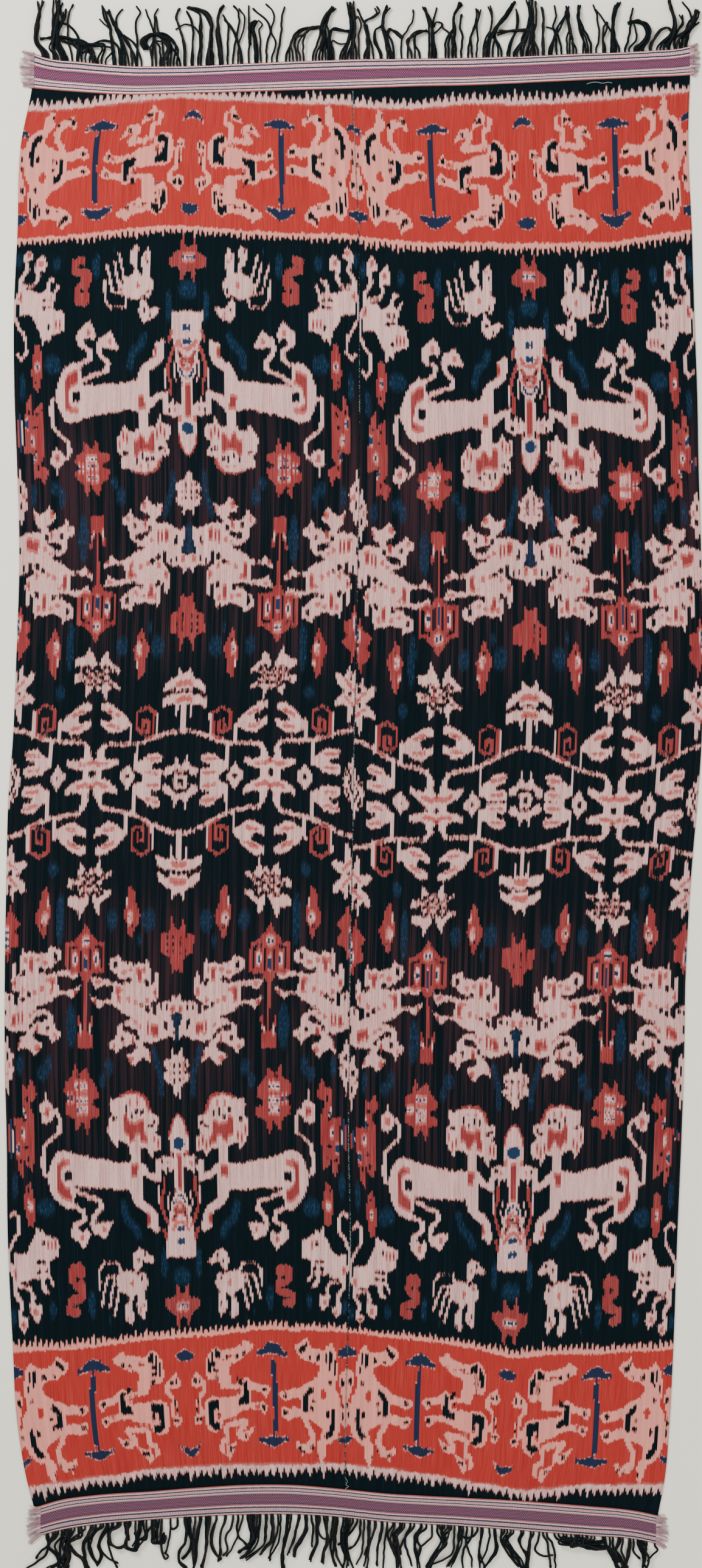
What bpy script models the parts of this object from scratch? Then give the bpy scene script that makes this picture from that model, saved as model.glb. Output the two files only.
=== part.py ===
"""An ikat mantle laid flat on its back.

Two warp-faced panels lie side by side, a woven band closes each end, a twisted fringe
stands out past each band, and the bands' cut ends fray into short tufts. Across runs
from the left edge to the right one, down runs from the far end to the near one, both
in millimetres. The model stands on z = 0 and is centred on its own outline.
"""

import math
from collections import namedtuple

import bmesh
import bpy
import numpy as np

# Driving dimensions, in millimetres.
MM = 0.001
CLOTH_THICK = 1.2
BAND_THICK = 2.2
CLEARANCE = 0.3

FRINGE_STRANDS = 104
FRINGE_INSET = 8.0  # from the band's corner to the first strand
STRAND_WIDTH = 2.8
STRAND_HEIGHT = 2.4
STRAND_STEPS = 5
BACKING_DEPTH = 3.0

FRAY_LOCKS = 9
LOCK_WIDTH = 4.2
LOCK_HEIGHT = 2.0
LOCK_STEPS = 2
LOCK_LENGTH = 15.0
LOCK_SPREAD = 0.12  # how far a lock leans out for each millimetre off the tuft's middle

# The side edges and the centre seam, by distance down the cloth.
Side = namedtuple("Side", "down left seam right")
SIDES = (
    Side(125, 56, 579.5, 1134),
    Side(150, 52, 580, 1133),
    Side(235, 35, 583, 1131),
    Side(380, 29, 590, 1137),
    Side(515, 23, 590.5, 1141),
    Side(650, 24, 591, 1146),
    Side(760, 28, 591.5, 1148),
    Side(900, 32, 588.5, 1152),
    Side(1080, 27, 586, 1155),
    Side(1220, 21, 582, 1153),
    Side(1310, 14, 581, 1147),
    Side(1425, 11, 579, 1137),
    Side(1600, 8, 575.5, 1127),
    Side(1750, 8, 574, 1124),
    Side(1870, 11, 573, 1120),
    Side(2035, 13, 576, 1113),
    Side(2205, 21, 571.5, 1107),
    Side(2340, 29, 568, 1100),
    Side(2425, 43, 567.5, 1093),
    Side(2490, 60, 568, 1081),
)

# The two edges of each end band, by distance across: one faces the fringe, one the cloth.
Band = namedtuple("Band", "across fringe_side cloth_side")
FAR_BAND = (
    Band(50, 86, 145),
    Band(72, 94, 147),
    Band(134, 102, 152),
    Band(214, 108.5, 156),
    Band(295, 109, 154),
    Band(380, 105.5, 152),
    Band(487, 101, 148.5),
    Band(578, 98, 146),
    Band(680, 96.5, 142.5),
    Band(780, 95, 140.5),
    Band(857, 92.5, 137),
    Band(964, 88, 132),
    Band(1071, 83.5, 127),
    Band(1120, 79, 125),
    Band(1141, 74, 123.5),
)
NEAR_BAND = (
    Band(60, 2524, 2475),
    Band(102, 2513, 2463),
    Band(153, 2505, 2456),
    Band(255, 2496, 2449),
    Band(332, 2491, 2443),
    Band(400, 2488, 2439),
    Band(482, 2487.5, 2439),
    Band(546, 2491, 2444),
    Band(635, 2500, 2453),
    Band(760, 2507, 2460),
    Band(853, 2514, 2465),
    Band(956, 2522, 2473),
    Band(1040, 2528, 2481),
    Band(1085, 2537, 2490),
)

# Soft folds that stand off the ground, each a low mound longer than it is wide.
Fold = namedtuple("Fold", "across down half_width half_length height lean")
FOLDS = (
    Fold(292, 215, 46, 130, 3.0, 4),
    Fold(540, 255, 44, 170, 4.0, 2),
    Fold(186, 2385, 42, 120, 3.0, -14),
    Fold(541, 2330, 40, 150, 4.0, 0),
    Fold(712, 2370, 44, 115, 3.2, 0),
    Fold(865, 2365, 46, 120, 3.6, 5),
    Fold(1000, 2350, 48, 130, 2.6, -6),
    Fold(880, 250, 60, 120, 2.2, 8),
    Fold(70, 1290, 60, 170, 2.6, 0),
    Fold(1092, 1150, 56, 190, 3.0, 3),
)

# The grid of each panel, as shares of its width and of its length.
LEFT_COLUMNS = (0, 0.10, 0.20, 0.27, 0.34, 0.42, 0.48, 0.54, 0.64, 0.76, 0.87, 0.93, 0.97, 1)
RIGHT_COLUMNS = (0, 0.09, 0.19, 0.26, 0.33, 0.44, 0.53, 0.61, 0.69, 0.78, 0.86, 0.93, 1)
END_ROWS = (0, 0.012, 0.025, 0.04, 0.055, 0.07, 0.085, 0.105)
MIDDLE_ROWS = 18

# Where the fringe's strands draw together, how wide the group is and how much it narrows.
Gather = namedtuple("Gather", "across half_span pull")
FAR_GATHERS = (
    Gather(95, 52, 0.55),
    Gather(185, 42, 0.50),
    Gather(262, 40, 0.55),
    Gather(350, 46, 0.50),
    Gather(430, 34, 0.40),
    Gather(512, 50, 0.58),
    Gather(596, 40, 0.55),
    Gather(676, 40, 0.50),
    Gather(762, 42, 0.55),
    Gather(862, 52, 0.55),
    Gather(940, 32, 0.45),
    Gather(1012, 40, 0.50),
    Gather(1090, 44, 0.50),
)
NEAR_GATHERS = (
    Gather(118, 52, 0.50),
    Gather(208, 40, 0.55),
    Gather(300, 48, 0.45),
    Gather(402, 46, 0.55),
    Gather(488, 40, 0.40),
    Gather(572, 46, 0.58),
    Gather(668, 46, 0.50),
    Gather(762, 44, 0.55),
    Gather(856, 46, 0.50),
    Gather(950, 46, 0.45),
    Gather(1040, 44, 0.55),
)
FAR_REACH = 84.0
NEAR_REACH = 82.0
REACH_VARIES = 8.0
SWAY = 7.0
SWAY_LENGTH = 330.0

Finish = namedtuple("Finish", "colour roughness")
IKAT = Finish((0.10, 0.035, 0.035, 1), 0.95)
BAND_WEAVE = Finish((0.42, 0.16, 0.20, 1), 0.90)
DARK_YARN = Finish((0.012, 0.012, 0.016, 1), 0.95)
PINK_YARN = Finish((0.50, 0.22, 0.20, 1), 0.95)


def smooth_curve(knots, values):
    """A curve through the table's rows with no corner at a row, as a function of the knot."""
    knots = np.array(knots, float)
    values = np.array(values, float)
    slopes = np.gradient(values, knots)

    def curve(at):
        at = np.clip(np.asarray(at, float), knots[0], knots[-1])
        i = np.clip(np.searchsorted(knots, at) - 1, 0, len(knots) - 2)
        span = knots[i + 1] - knots[i]
        t = (at - knots[i]) / span
        return (
            values[i] * (1 + 2 * t) * (1 - t) ** 2
            + values[i + 1] * t * t * (3 - 2 * t)
            + slopes[i] * span * t * (1 - t) ** 2
            - slopes[i + 1] * span * t * t * (1 - t)
        )

    return curve


def edges_by_down(column):
    return smooth_curve([row.down for row in SIDES], [getattr(row, column) for row in SIDES])


LEFT_EDGE = edges_by_down("left")
SEAM = edges_by_down("seam")
RIGHT_EDGE = edges_by_down("right")


def corner_down(table, edge, guess):
    """How far down a side edge meets the band's edge on the cloth's side."""
    cloth_side = smooth_curve([row.across for row in table], [row.cloth_side for row in table])
    down = guess
    for _ in range(6):
        down = float(cloth_side(edge(down)))
    return down


def fold_height(across, down):
    """How high the cloth's underside stands off the ground."""
    height = np.zeros(np.broadcast(across, down).shape)
    for fold in FOLDS:
        turn = math.radians(fold.lean)
        off, along = across - fold.across, down - fold.down
        u = (off * math.cos(turn) + along * math.sin(turn)) / fold.half_width
        v = (along * math.cos(turn) - off * math.sin(turn)) / fold.half_length
        height += fold.height * np.clip(1 - u * u - v * v, 0, None) ** 2
    return height


def new_object(name, mesh, finish):
    material = bpy.data.materials.get(finish[0]) or bpy.data.materials.new(finish[0])
    material.use_nodes = True
    shader = material.node_tree.nodes["Principled BSDF"]
    shader.inputs["Base Color"].default_value = finish[1].colour
    shader.inputs["Roughness"].default_value = finish[1].roughness
    shader.inputs["Metallic"].default_value = 0.0
    mesh.materials.append(material)
    obj = bpy.data.objects.new(name, mesh)
    bpy.context.scene.collection.objects.link(obj)
    return obj


def sheet(name, grid, thick, finish):
    """A closed sheet over a grid of (across, down, height) points, its underside on them."""
    rows, columns = grid.shape[:2]
    bm = bmesh.new()
    points = [
        [bm.verts.new((a * MM, -d * MM, z * MM)) for a, d, z in row] for row in grid
    ]
    for i in range(rows - 1):
        for j in range(columns - 1):
            bm.faces.new(
                (points[i + 1][j], points[i + 1][j + 1], points[i][j + 1], points[i][j])
            )
    mesh = bpy.data.meshes.new(name)
    bm.to_mesh(mesh)
    bm.free()
    obj = new_object(name, mesh, finish)
    solidify = obj.modifiers.new("Cloth thickness", "SOLIDIFY")
    solidify.thickness = thick * MM
    solidify.offset = 1.0
    return obj


def panel_ends(edge_a, edge_b, columns):
    """Across positions of the columns at the far and near ends, and the ends' down there."""
    shares = np.array(columns)
    ends = []
    for table, guess in ((FAR_BAND, 140), (NEAR_BAND, 2465)):
        a_down = corner_down(table, edge_a, guess)
        b_down = corner_down(table, edge_b, guess)
        across = edge_a(a_down) * (1 - shares) + edge_b(b_down) * shares
        cloth_side = smooth_curve(
            [row.across for row in table], [row.cloth_side for row in table]
        )
        ends.append((across, cloth_side(across)))
    return ends


def panel(name, edge_a, edge_b, columns, a_gap, b_gap):
    """One loom width of cloth between two edges, each held back by its gap."""
    (_, far_down), (_, near_down) = panel_ends(edge_a, edge_b, columns)
    end = np.array(END_ROWS)
    middle = np.linspace(END_ROWS[-1], 1 - END_ROWS[-1], MIDDLE_ROWS + 1)[1:-1]
    rows = np.concatenate([end, middle, 1 - end[::-1]])
    grid = np.zeros((len(rows), len(columns), 3))
    shares = np.array(columns)
    for i, g in enumerate(rows):
        down = (far_down + CLEARANCE) * (1 - g) + (near_down - CLEARANCE) * g
        left, right = edge_a(down[0]) + a_gap, edge_b(down[-1]) - b_gap
        across = left * (1 - shares) + right * shares
        grid[i, :, 0], grid[i, :, 1] = across, down
        grid[i, :, 2] = fold_height(across, down)
    grid[[0, -1], :, 2] = np.minimum(grid[[0, -1], :, 2], BAND_THICK - CLOTH_THICK)
    return sheet(name, grid, CLOTH_THICK, ("Ikat cloth", IKAT))


def band_stations(table, end):
    """Across positions where the band has an edge point: its own ends and the panels' columns."""
    left = panel_ends(LEFT_EDGE, SEAM, LEFT_COLUMNS)[end][0]
    right = panel_ends(SEAM, RIGHT_EDGE, RIGHT_COLUMNS)[end][0]
    inside = np.concatenate([left, right[1:]])
    first, last = table[0].across, table[-1].across
    inside = inside[(inside > first + 2) & (inside < last - 2)]
    return np.concatenate([[first], inside, [last]])


def band(name, table, end):
    across = band_stations(table, end)
    knots = [row.across for row in table]
    fringe_side = smooth_curve(knots, [row.fringe_side for row in table])(across)
    cloth_side = smooth_curve(knots, [row.cloth_side for row in table])(across)
    sides = (fringe_side, cloth_side) if end == 0 else (cloth_side, fringe_side)
    grid = np.zeros((2, len(across), 3))
    for i, side in enumerate(sides):
        grid[i, :, 0], grid[i, :, 1] = across, side
    return sheet(name, grid, BAND_THICK, ("Band weave", BAND_WEAVE))


def comb(name, roots, outward, paths, width, height, finish):
    """A narrow backing along the roots with one three-sided strand on each.

    roots are the backing's points on its held edge, outward the unit vectors that point
    away from it, and each path is a strand's centre line from the backing's free edge.
    """
    bm = bmesh.new()
    along = np.stack([-outward[:, 1], outward[:, 0]], axis=1)
    if np.dot(along[0], roots[-1] - roots[0]) < 0:
        along = -along
    free = roots + outward * BACKING_DEPTH

    def vertex(point, z):
        return bm.verts.new((point[0] * MM, -point[1] * MM, z * MM))

    held = [vertex(p, 0) for p in roots]
    low_a = [vertex(p - a * width / 2, 0) for p, a in zip(free, along)]
    low_b = [vertex(p + a * width / 2, 0) for p, a in zip(free, along)]
    ridge = [vertex(p, height) for p in free]
    crest = [vertex(p + o * 0.4, height) for p, o in zip(roots, outward)]
    last = len(roots) - 1
    bm.faces.new((held[0], low_a[0], ridge[0], crest[0]))
    bm.faces.new((held[last], crest[last], ridge[last], low_b[last]))
    for i in range(last):
        bm.faces.new((low_b[i], ridge[i + 1], ridge[i]))
        bm.faces.new((low_b[i], low_a[i + 1], ridge[i + 1]))
        bm.faces.new((held[i], low_b[i], low_a[i + 1], held[i + 1]))
        bm.faces.new((crest[i], crest[i + 1], ridge[i + 1], ridge[i]))
        bm.faces.new((held[i], held[i + 1], crest[i + 1], crest[i]))
    for i, path in enumerate(paths):
        bm.faces.new((held[i], low_a[i], low_b[i]))
        tip = bm.faces.new((low_a[i], low_b[i], ridge[i]))
        course = np.gradient(path, axis=0)
        course /= np.linalg.norm(course, axis=1)[:, None]
        for step in range(1, len(path)):
            tip = bmesh.ops.extrude_discrete_faces(bm, faces=[tip])["faces"][0]
            taper = 1 - 0.25 * step / (len(path) - 1)
            side = np.array([-course[step][1], course[step][0]])
            if np.dot(side, along[i]) < 0:
                side = -side
            places = (
                (path[step] - side * width * taper / 2, 0),
                (path[step] + side * width * taper / 2, 0),
                (path[step], height * taper),
            )
            for corner, (point, z) in zip(tip.verts, places):
                corner.co = (point[0] * MM, -point[1] * MM, z * MM)
    bmesh.ops.recalc_face_normals(bm, faces=bm.faces)
    mesh = bpy.data.meshes.new(name)
    bm.to_mesh(mesh)
    bm.free()
    return new_object(name, mesh, finish)


def gathered(across, gathers, share):
    """Where a strand rooted at across lies when share of its length has left the band."""
    ease = share * share * (3 - 2 * share)
    moved = across + SWAY * math.sin(2 * math.pi * across / SWAY_LENGTH) * ease
    for gather in gathers:
        off = (across - gather.across) / gather.half_span
        if abs(off) < 1:
            moved -= gather.pull * ease * (across - gather.across) * (1 - off * off) ** 2
    return moved


def fringe(name, table, end, gathers, reach):
    """Twisted warp ends past one band, each clear of its neighbours."""
    stations = band_stations(table, end)
    edge = smooth_curve([row.across for row in table], [row.fringe_side for row in table])
    heights = edge(stations)
    way = -1 if end == 0 else 1
    across = np.linspace(
        table[0].across + FRINGE_INSET, table[-1].across - FRINGE_INSET, FRINGE_STRANDS
    )
    held = np.interp(across, stations, heights) + way * CLEARANCE
    roots = np.stack([across, held], axis=1)
    outward = np.tile([0.0, way], (len(across), 1))
    paths = []
    for i, a in enumerate(across):
        length = reach + REACH_VARIES * math.sin(2.4 * i) * math.cos(0.37 * i)
        shares = np.linspace(0, 1, STRAND_STEPS + 1)
        path = [
            (gathered(a, gathers, s), held[i] + way * (BACKING_DEPTH + length * s))
            for s in shares
        ]
        paths.append(np.array(path))
    return comb(
        name, roots, outward, paths, STRAND_WIDTH, STRAND_HEIGHT, ("Dark yarn", DARK_YARN)
    )


def fray(name, table, row, way):
    """The loose yarn ends past one cut end of a band, in short locks that lean apart."""
    end = table[row]
    low, high = sorted((end.fringe_side, end.cloth_side))
    margin = LOCK_WIDTH
    down = np.linspace(low + margin, high - margin, FRAY_LOCKS)
    across = np.full(FRAY_LOCKS, end.across + way * CLEARANCE)
    roots = np.stack([across, down], axis=1)
    outward = np.tile([float(way), 0.0], (FRAY_LOCKS, 1))
    paths = []
    for i in range(FRAY_LOCKS):
        length = LOCK_LENGTH * (0.8 + 0.2 * math.sin(2.1 * i + row))
        lean = LOCK_SPREAD * (down[i] - (low + high) / 2)
        shares = np.linspace(0, 1, LOCK_STEPS + 1)
        start = across[i] + way * BACKING_DEPTH
        path = [(start + way * length * s, down[i] + lean * s * s) for s in shares]
        paths.append(np.array(path))
    return comb(
        name, roots, outward, paths, LOCK_WIDTH, LOCK_HEIGHT, ("Pink yarn", PINK_YARN)
    )


def centre_on_origin(objects):
    """Moves every mesh so that the outline's middle is over the origin."""
    points = np.array([v.co for obj in objects for v in obj.data.vertices])
    middle = (points.min(axis=0) + points.max(axis=0)) / 2
    for obj in objects:
        for v in obj.data.vertices:
            v.co.x -= middle[0]
            v.co.y -= middle[1]


def main():
    for obj in list(bpy.data.objects):
        bpy.data.objects.remove(obj)
    half = CLEARANCE / 2
    pieces = [
        panel("panel_left", LEFT_EDGE, SEAM, LEFT_COLUMNS, 0, half),
        panel("panel_right", SEAM, RIGHT_EDGE, RIGHT_COLUMNS, half, 0),
        band("band_far", FAR_BAND, 0),
        band("band_near", NEAR_BAND, 1),
        fringe("fringe_far", FAR_BAND, 0, FAR_GATHERS, FAR_REACH),
        fringe("fringe_near", NEAR_BAND, 1, NEAR_GATHERS, NEAR_REACH),
        fray("fray_far_left", FAR_BAND, 0, -1),
        fray("fray_far_right", FAR_BAND, -1, 1),
        fray("fray_near_left", NEAR_BAND, 0, -1),
        fray("fray_near_right", NEAR_BAND, -1, 1),
    ]
    centre_on_origin(pieces)


main()
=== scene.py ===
# Ikat mantle laid flat: looks for the woven panels, end bands, fringe, frays and sewing.
import math

import bpy
import numpy as np
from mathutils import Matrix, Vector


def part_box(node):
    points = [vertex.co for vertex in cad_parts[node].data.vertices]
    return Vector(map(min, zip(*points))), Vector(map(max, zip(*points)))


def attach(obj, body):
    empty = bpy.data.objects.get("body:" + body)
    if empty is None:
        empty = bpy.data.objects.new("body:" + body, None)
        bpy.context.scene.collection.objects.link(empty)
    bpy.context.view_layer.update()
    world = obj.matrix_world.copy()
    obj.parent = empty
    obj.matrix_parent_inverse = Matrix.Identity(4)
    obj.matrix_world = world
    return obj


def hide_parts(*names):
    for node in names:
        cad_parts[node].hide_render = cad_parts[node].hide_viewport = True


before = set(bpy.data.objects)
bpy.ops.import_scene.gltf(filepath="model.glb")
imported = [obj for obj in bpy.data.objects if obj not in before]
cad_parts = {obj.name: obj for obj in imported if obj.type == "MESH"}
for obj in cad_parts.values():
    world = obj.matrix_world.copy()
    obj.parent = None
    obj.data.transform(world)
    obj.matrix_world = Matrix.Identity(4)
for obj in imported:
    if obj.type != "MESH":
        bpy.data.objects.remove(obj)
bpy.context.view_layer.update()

mm = 0.001

# Plan of the cloth, in millimetres: across from the left, down from the far end.
# side rows: down, left edge, centre seam, right edge
sideRows = np.array([
    (125, 56, 579.5, 1134), (150, 52, 580, 1133), (235, 35, 583, 1131),
    (380, 29, 590, 1137), (515, 23, 590.5, 1141), (650, 24, 591, 1146),
    (760, 28, 591.5, 1148), (900, 32, 588.5, 1152), (1080, 27, 586, 1155),
    (1220, 21, 582, 1153), (1310, 14, 581, 1147), (1425, 11, 579, 1137),
    (1600, 8, 575.5, 1127), (1750, 8, 574, 1124), (1870, 11, 573, 1120),
    (2035, 13, 576, 1113), (2205, 21, 571.5, 1107), (2340, 29, 568, 1100),
    (2425, 43, 567.5, 1093), (2490, 60, 568, 1081),
])
# band rows: across, edge that faces the fringe, edge that faces the cloth
farBand = np.array([
    (50, 86, 145), (72, 94, 147), (134, 102, 152), (214, 108.5, 156), (295, 109, 154),
    (380, 105.5, 152), (487, 101, 148.5), (578, 98, 146), (680, 96.5, 142.5),
    (780, 95, 140.5), (857, 92.5, 137), (964, 88, 132), (1071, 83.5, 127),
    (1120, 79, 125), (1141, 74, 123.5),
])
nearBand = np.array([
    (60, 2524, 2475), (102, 2513, 2463), (153, 2505, 2456), (255, 2496, 2449),
    (332, 2491, 2443), (400, 2488, 2439), (482, 2487.5, 2439), (546, 2491, 2444),
    (635, 2500, 2453), (760, 2507, 2460), (853, 2514, 2465), (956, 2522, 2473),
    (1040, 2528, 2481), (1085, 2537, 2490),
])

bandTables = {"far": farBand, "near": nearBand}

bandLow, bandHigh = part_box("band_far")
middleAcross = farBand[0, 0] - bandLow.x / mm
middleDown = farBand[-1, 1] + bandHigh.y / mm


# Points from across, down and height in millimetres to the frame's metres.
def toFrame(across, down, height):
    points = np.stack(np.broadcast_arrays(across - middleAcross, middleDown - down, height), -1)
    return points.astype(float) * mm


# A curve with no corner at its knots: each stretch is a cubic whose end slopes are the table's gradients.
def smoothCurve(knots, values):
    slopes = np.gradient(values, knots)

    def curve(at):
        at = np.clip(np.asarray(at, float), knots[0], knots[-1])
        i = np.clip(np.searchsorted(knots, at) - 1, 0, len(knots) - 2)
        span = knots[i + 1] - knots[i]
        t = (at - knots[i]) / span
        return (
            values[i] * (1 + 2 * t) * (1 - t) ** 2
            + values[i + 1] * t * t * (3 - 2 * t)
            + slopes[i] * span * t * (1 - t) ** 2
            - slopes[i + 1] * span * t * t * (1 - t)
        )

    return curve


leftEdge, seamLine, rightEdge = (smoothCurve(sideRows[:, 0], sideRows[:, i]) for i in (1, 2, 3))
fringeSide = {end: smoothCurve(table[:, 0], table[:, 1]) for end, table in bandTables.items()}
clothSide = {end: smoothCurve(table[:, 0], table[:, 2]) for end, table in bandTables.items()}


# A smooth path through places: across, down and the run of its straight legs, at even steps of that run.
def smoothPath(places, steps):
    places = np.array(places, float)
    legs = np.concatenate([[0], np.cumsum(np.hypot(*np.diff(places, axis=0).T))])
    run = np.linspace(0, legs[-1], steps)
    return smoothCurve(legs, places[:, 0])(run), smoothCurve(legs, places[:, 1])(run), run


# A share that rises from 0 at low to 1 at high, level at both: 3 t squared less 2 t cubed.
def ease(low, high, x):
    t = np.clip((x - low) / (high - low), 0, 1)
    return t * t * (3 - 2 * t)


# Smooth noise from -1 to 1: random values on a lattice, blended between its points by an eased share.
def latticeNoise(x, y, seed, cells=256):
    table = np.random.default_rng(seed).uniform(-1, 1, (cells, cells))
    xi, yi = np.floor(x).astype(int), np.floor(y).astype(int)
    tx, ty = ease(0, 1, x - xi), ease(0, 1, y - yi)
    xa, xb, ya, yb = xi % cells, (xi + 1) % cells, yi % cells, (yi + 1) % cells
    near = table[xa, ya] * (1 - tx) + table[xb, ya] * tx
    return near * (1 - ty) + (table[xa, yb] * (1 - tx) + table[xb, yb] * tx) * ty


# Shader maths: a wire is one output socket, and arithmetic on it adds Math nodes.
class Wire:
    def __init__(self, finish, socket):
        self.finish = finish
        self.socket = socket

    def __add__(self, other):
        return self.finish.maths("ADD", self, other)

    def __sub__(self, other):
        return self.finish.maths("SUBTRACT", self, other)

    def __rsub__(self, other):
        return self.finish.maths("SUBTRACT", other, self)

    def __mul__(self, other):
        return self.finish.maths("MULTIPLY", self, other)

    def __truediv__(self, other):
        return self.finish.maths("DIVIDE", self, other)

    __radd__ = __add__
    __rmul__ = __mul__


# A material: its principled shader, and short ways to make the nodes that feed it.
class Finish:
    def __init__(self, name, roughness, specular=0.25):
        self.material = bpy.data.materials.new(name)
        self.material.use_nodes = True
        self.tree = self.material.node_tree
        self.shader = self.tree.nodes["Principled BSDF"]
        self.shader.inputs["Roughness"].default_value = roughness
        self.shader.inputs["Specular IOR Level"].default_value = specular

    # One node of any type: its settings first, then its sockets' values or links.
    def node(self, kind, settings=None, sockets=None, out=0):
        made = self.tree.nodes.new(kind)
        for key, value in (settings or {}).items():
            if key == "stops":
                ramp = made.color_ramp
                while len(ramp.elements) < len(value):
                    ramp.elements.new(0.5)
                for element, (at, colour) in zip(ramp.elements, value):
                    element.position = at
                    element.color = (*colour, 1)
            else:
                setattr(made, key, value)
        for key, value in (sockets or {}).items():
            if isinstance(value, Wire):
                self.tree.links.new(value.socket, made.inputs[key])
            else:
                made.inputs[key].default_value = value
        return Wire(self, made.outputs[out])

    def maths(self, operation, *values):
        return self.node("ShaderNodeMath", {"operation": operation}, dict(enumerate(values)))

    def attribute(self, name):
        return self.node("ShaderNodeAttribute", {"attribute_name": name}, out="Vector")

    def split(self, vector):
        made = self.tree.nodes.new("ShaderNodeSeparateXYZ")
        self.tree.links.new(vector.socket, made.inputs[0])
        return [Wire(self, made.outputs[i]) for i in range(3)]

    def joined(self, x, y, z=0.0):
        return self.node("ShaderNodeCombineXYZ", {}, {0: x, 1: y, 2: z})

    def noise(self, vector, detail=1.0):
        sockets = {"Vector": vector, "Scale": 1.0, "Detail": detail}
        return self.node("ShaderNodeTexNoise", {}, sockets)

    # Rounded ridges from 0 to 1, one for each half turn of the angle.
    def ridges(self, angle):
        return self.maths("ABSOLUTE", self.maths("SINE", angle))

    # A share that rises smoothly from 0 at low to 1 at high.
    def rise(self, value, low, high):
        sockets = {"Value": value, "From Min": low, "From Max": high}
        return self.node("ShaderNodeMapRange", {"interpolation_type": "SMOOTHSTEP"}, sockets)

    def blend(self, share, first, second, way="MIX"):
        first = first if isinstance(first, Wire) else (*first, 1)
        second = second if isinstance(second, Wire) else (*second, 1)
        settings = {"data_type": "RGBA", "blend_type": way}
        return self.node("ShaderNodeMix", settings, {0: share, 6: first, 7: second}, out=2)

    # The colour times a shade, which is about 1.
    def shaded(self, colour, shade):
        grey = self.node("ShaderNodeCombineColor", {}, {0: shade, 1: shade, 2: shade})
        return self.blend(1.0, colour, grey, "MULTIPLY")

    # Flat stripes along a share: each stop's colour runs on to the next stop.
    def stripes(self, share, stops):
        wire = self.node("ShaderNodeValToRGB", {"stops": stops}, {0: share})
        wire.socket.node.color_ramp.interpolation = "CONSTANT"
        return wire

    def feed(self, name, wire):
        self.tree.links.new(wire.socket, self.shader.inputs[name])

    def relief(self, height, distance, strength=1.0):
        sockets = {"Height": height, "Distance": distance, "Strength": strength}
        self.feed("Normal", self.node("ShaderNodeBump", {}, sockets))


# A colour given as the 0 to 255 values of a paint swatch, in the renderer's linear light.
def swatch(red, green, blue):
    return tuple(
        c / 3294.6 if c <= 10 else ((c / 255 + 0.055) / 1.055) ** 2.4 for c in (red, green, blue)
    )


# A mesh from points and blocks of faces, each block with one number of corners, and corner values.
def addPiece(name, points, blocks, finish, corners, bakeMap):
    mesh = bpy.data.meshes.new(name)
    mesh.vertices.add(len(points))
    mesh.vertices.foreach_set("co", np.asarray(points, np.float32).ravel())
    sizes = np.concatenate([np.full(len(block), block.shape[1]) for block in blocks])
    loops = np.concatenate([block.ravel() for block in blocks])
    mesh.loops.add(len(loops))
    mesh.loops.foreach_set("vertex_index", loops.astype(np.int32))
    mesh.polygons.add(len(sizes))
    starts = np.concatenate([[0], np.cumsum(sizes)[:-1]])
    mesh.polygons.foreach_set("loop_start", starts.astype(np.int32))
    mesh.update(calc_edges=True)
    mesh.polygons.foreach_set("use_smooth", np.ones(len(sizes), bool))
    for key, values in corners.items():
        layer = mesh.attributes.new(key, "FLOAT_VECTOR", "CORNER")
        layer.data.foreach_set("vector", np.asarray(values, np.float32).ravel())
    layer = mesh.uv_layers.new(name="OFBake")
    layer.data.foreach_set("uv", np.asarray(bakeMap, np.float32).ravel())
    mesh.materials.append(finish.material)
    piece = bpy.data.objects.new(name, mesh)
    bpy.context.scene.collection.objects.link(piece)
    return piece


# The quads of a grid of points, seen from above the right way round when rows run down.
def gridQuads(rows, columns, first=0):
    i = first + np.arange(rows - 1)[:, None] * columns + np.arange(columns - 1)
    return np.stack([i + columns, i + columns + 1, i + 1, i], -1)


# The dye chart: half a loom width by half the cloth's length, one cell a millimetre.
# u runs from the panel's middle line (0) to its edge, v from the outer border (0) to the centre line.
ground, pale, red, blue, navy = range(5)
chartSize = {"halfWidth": 277, "pole": 150, "centreLine": 1136, "band": 208}


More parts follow.
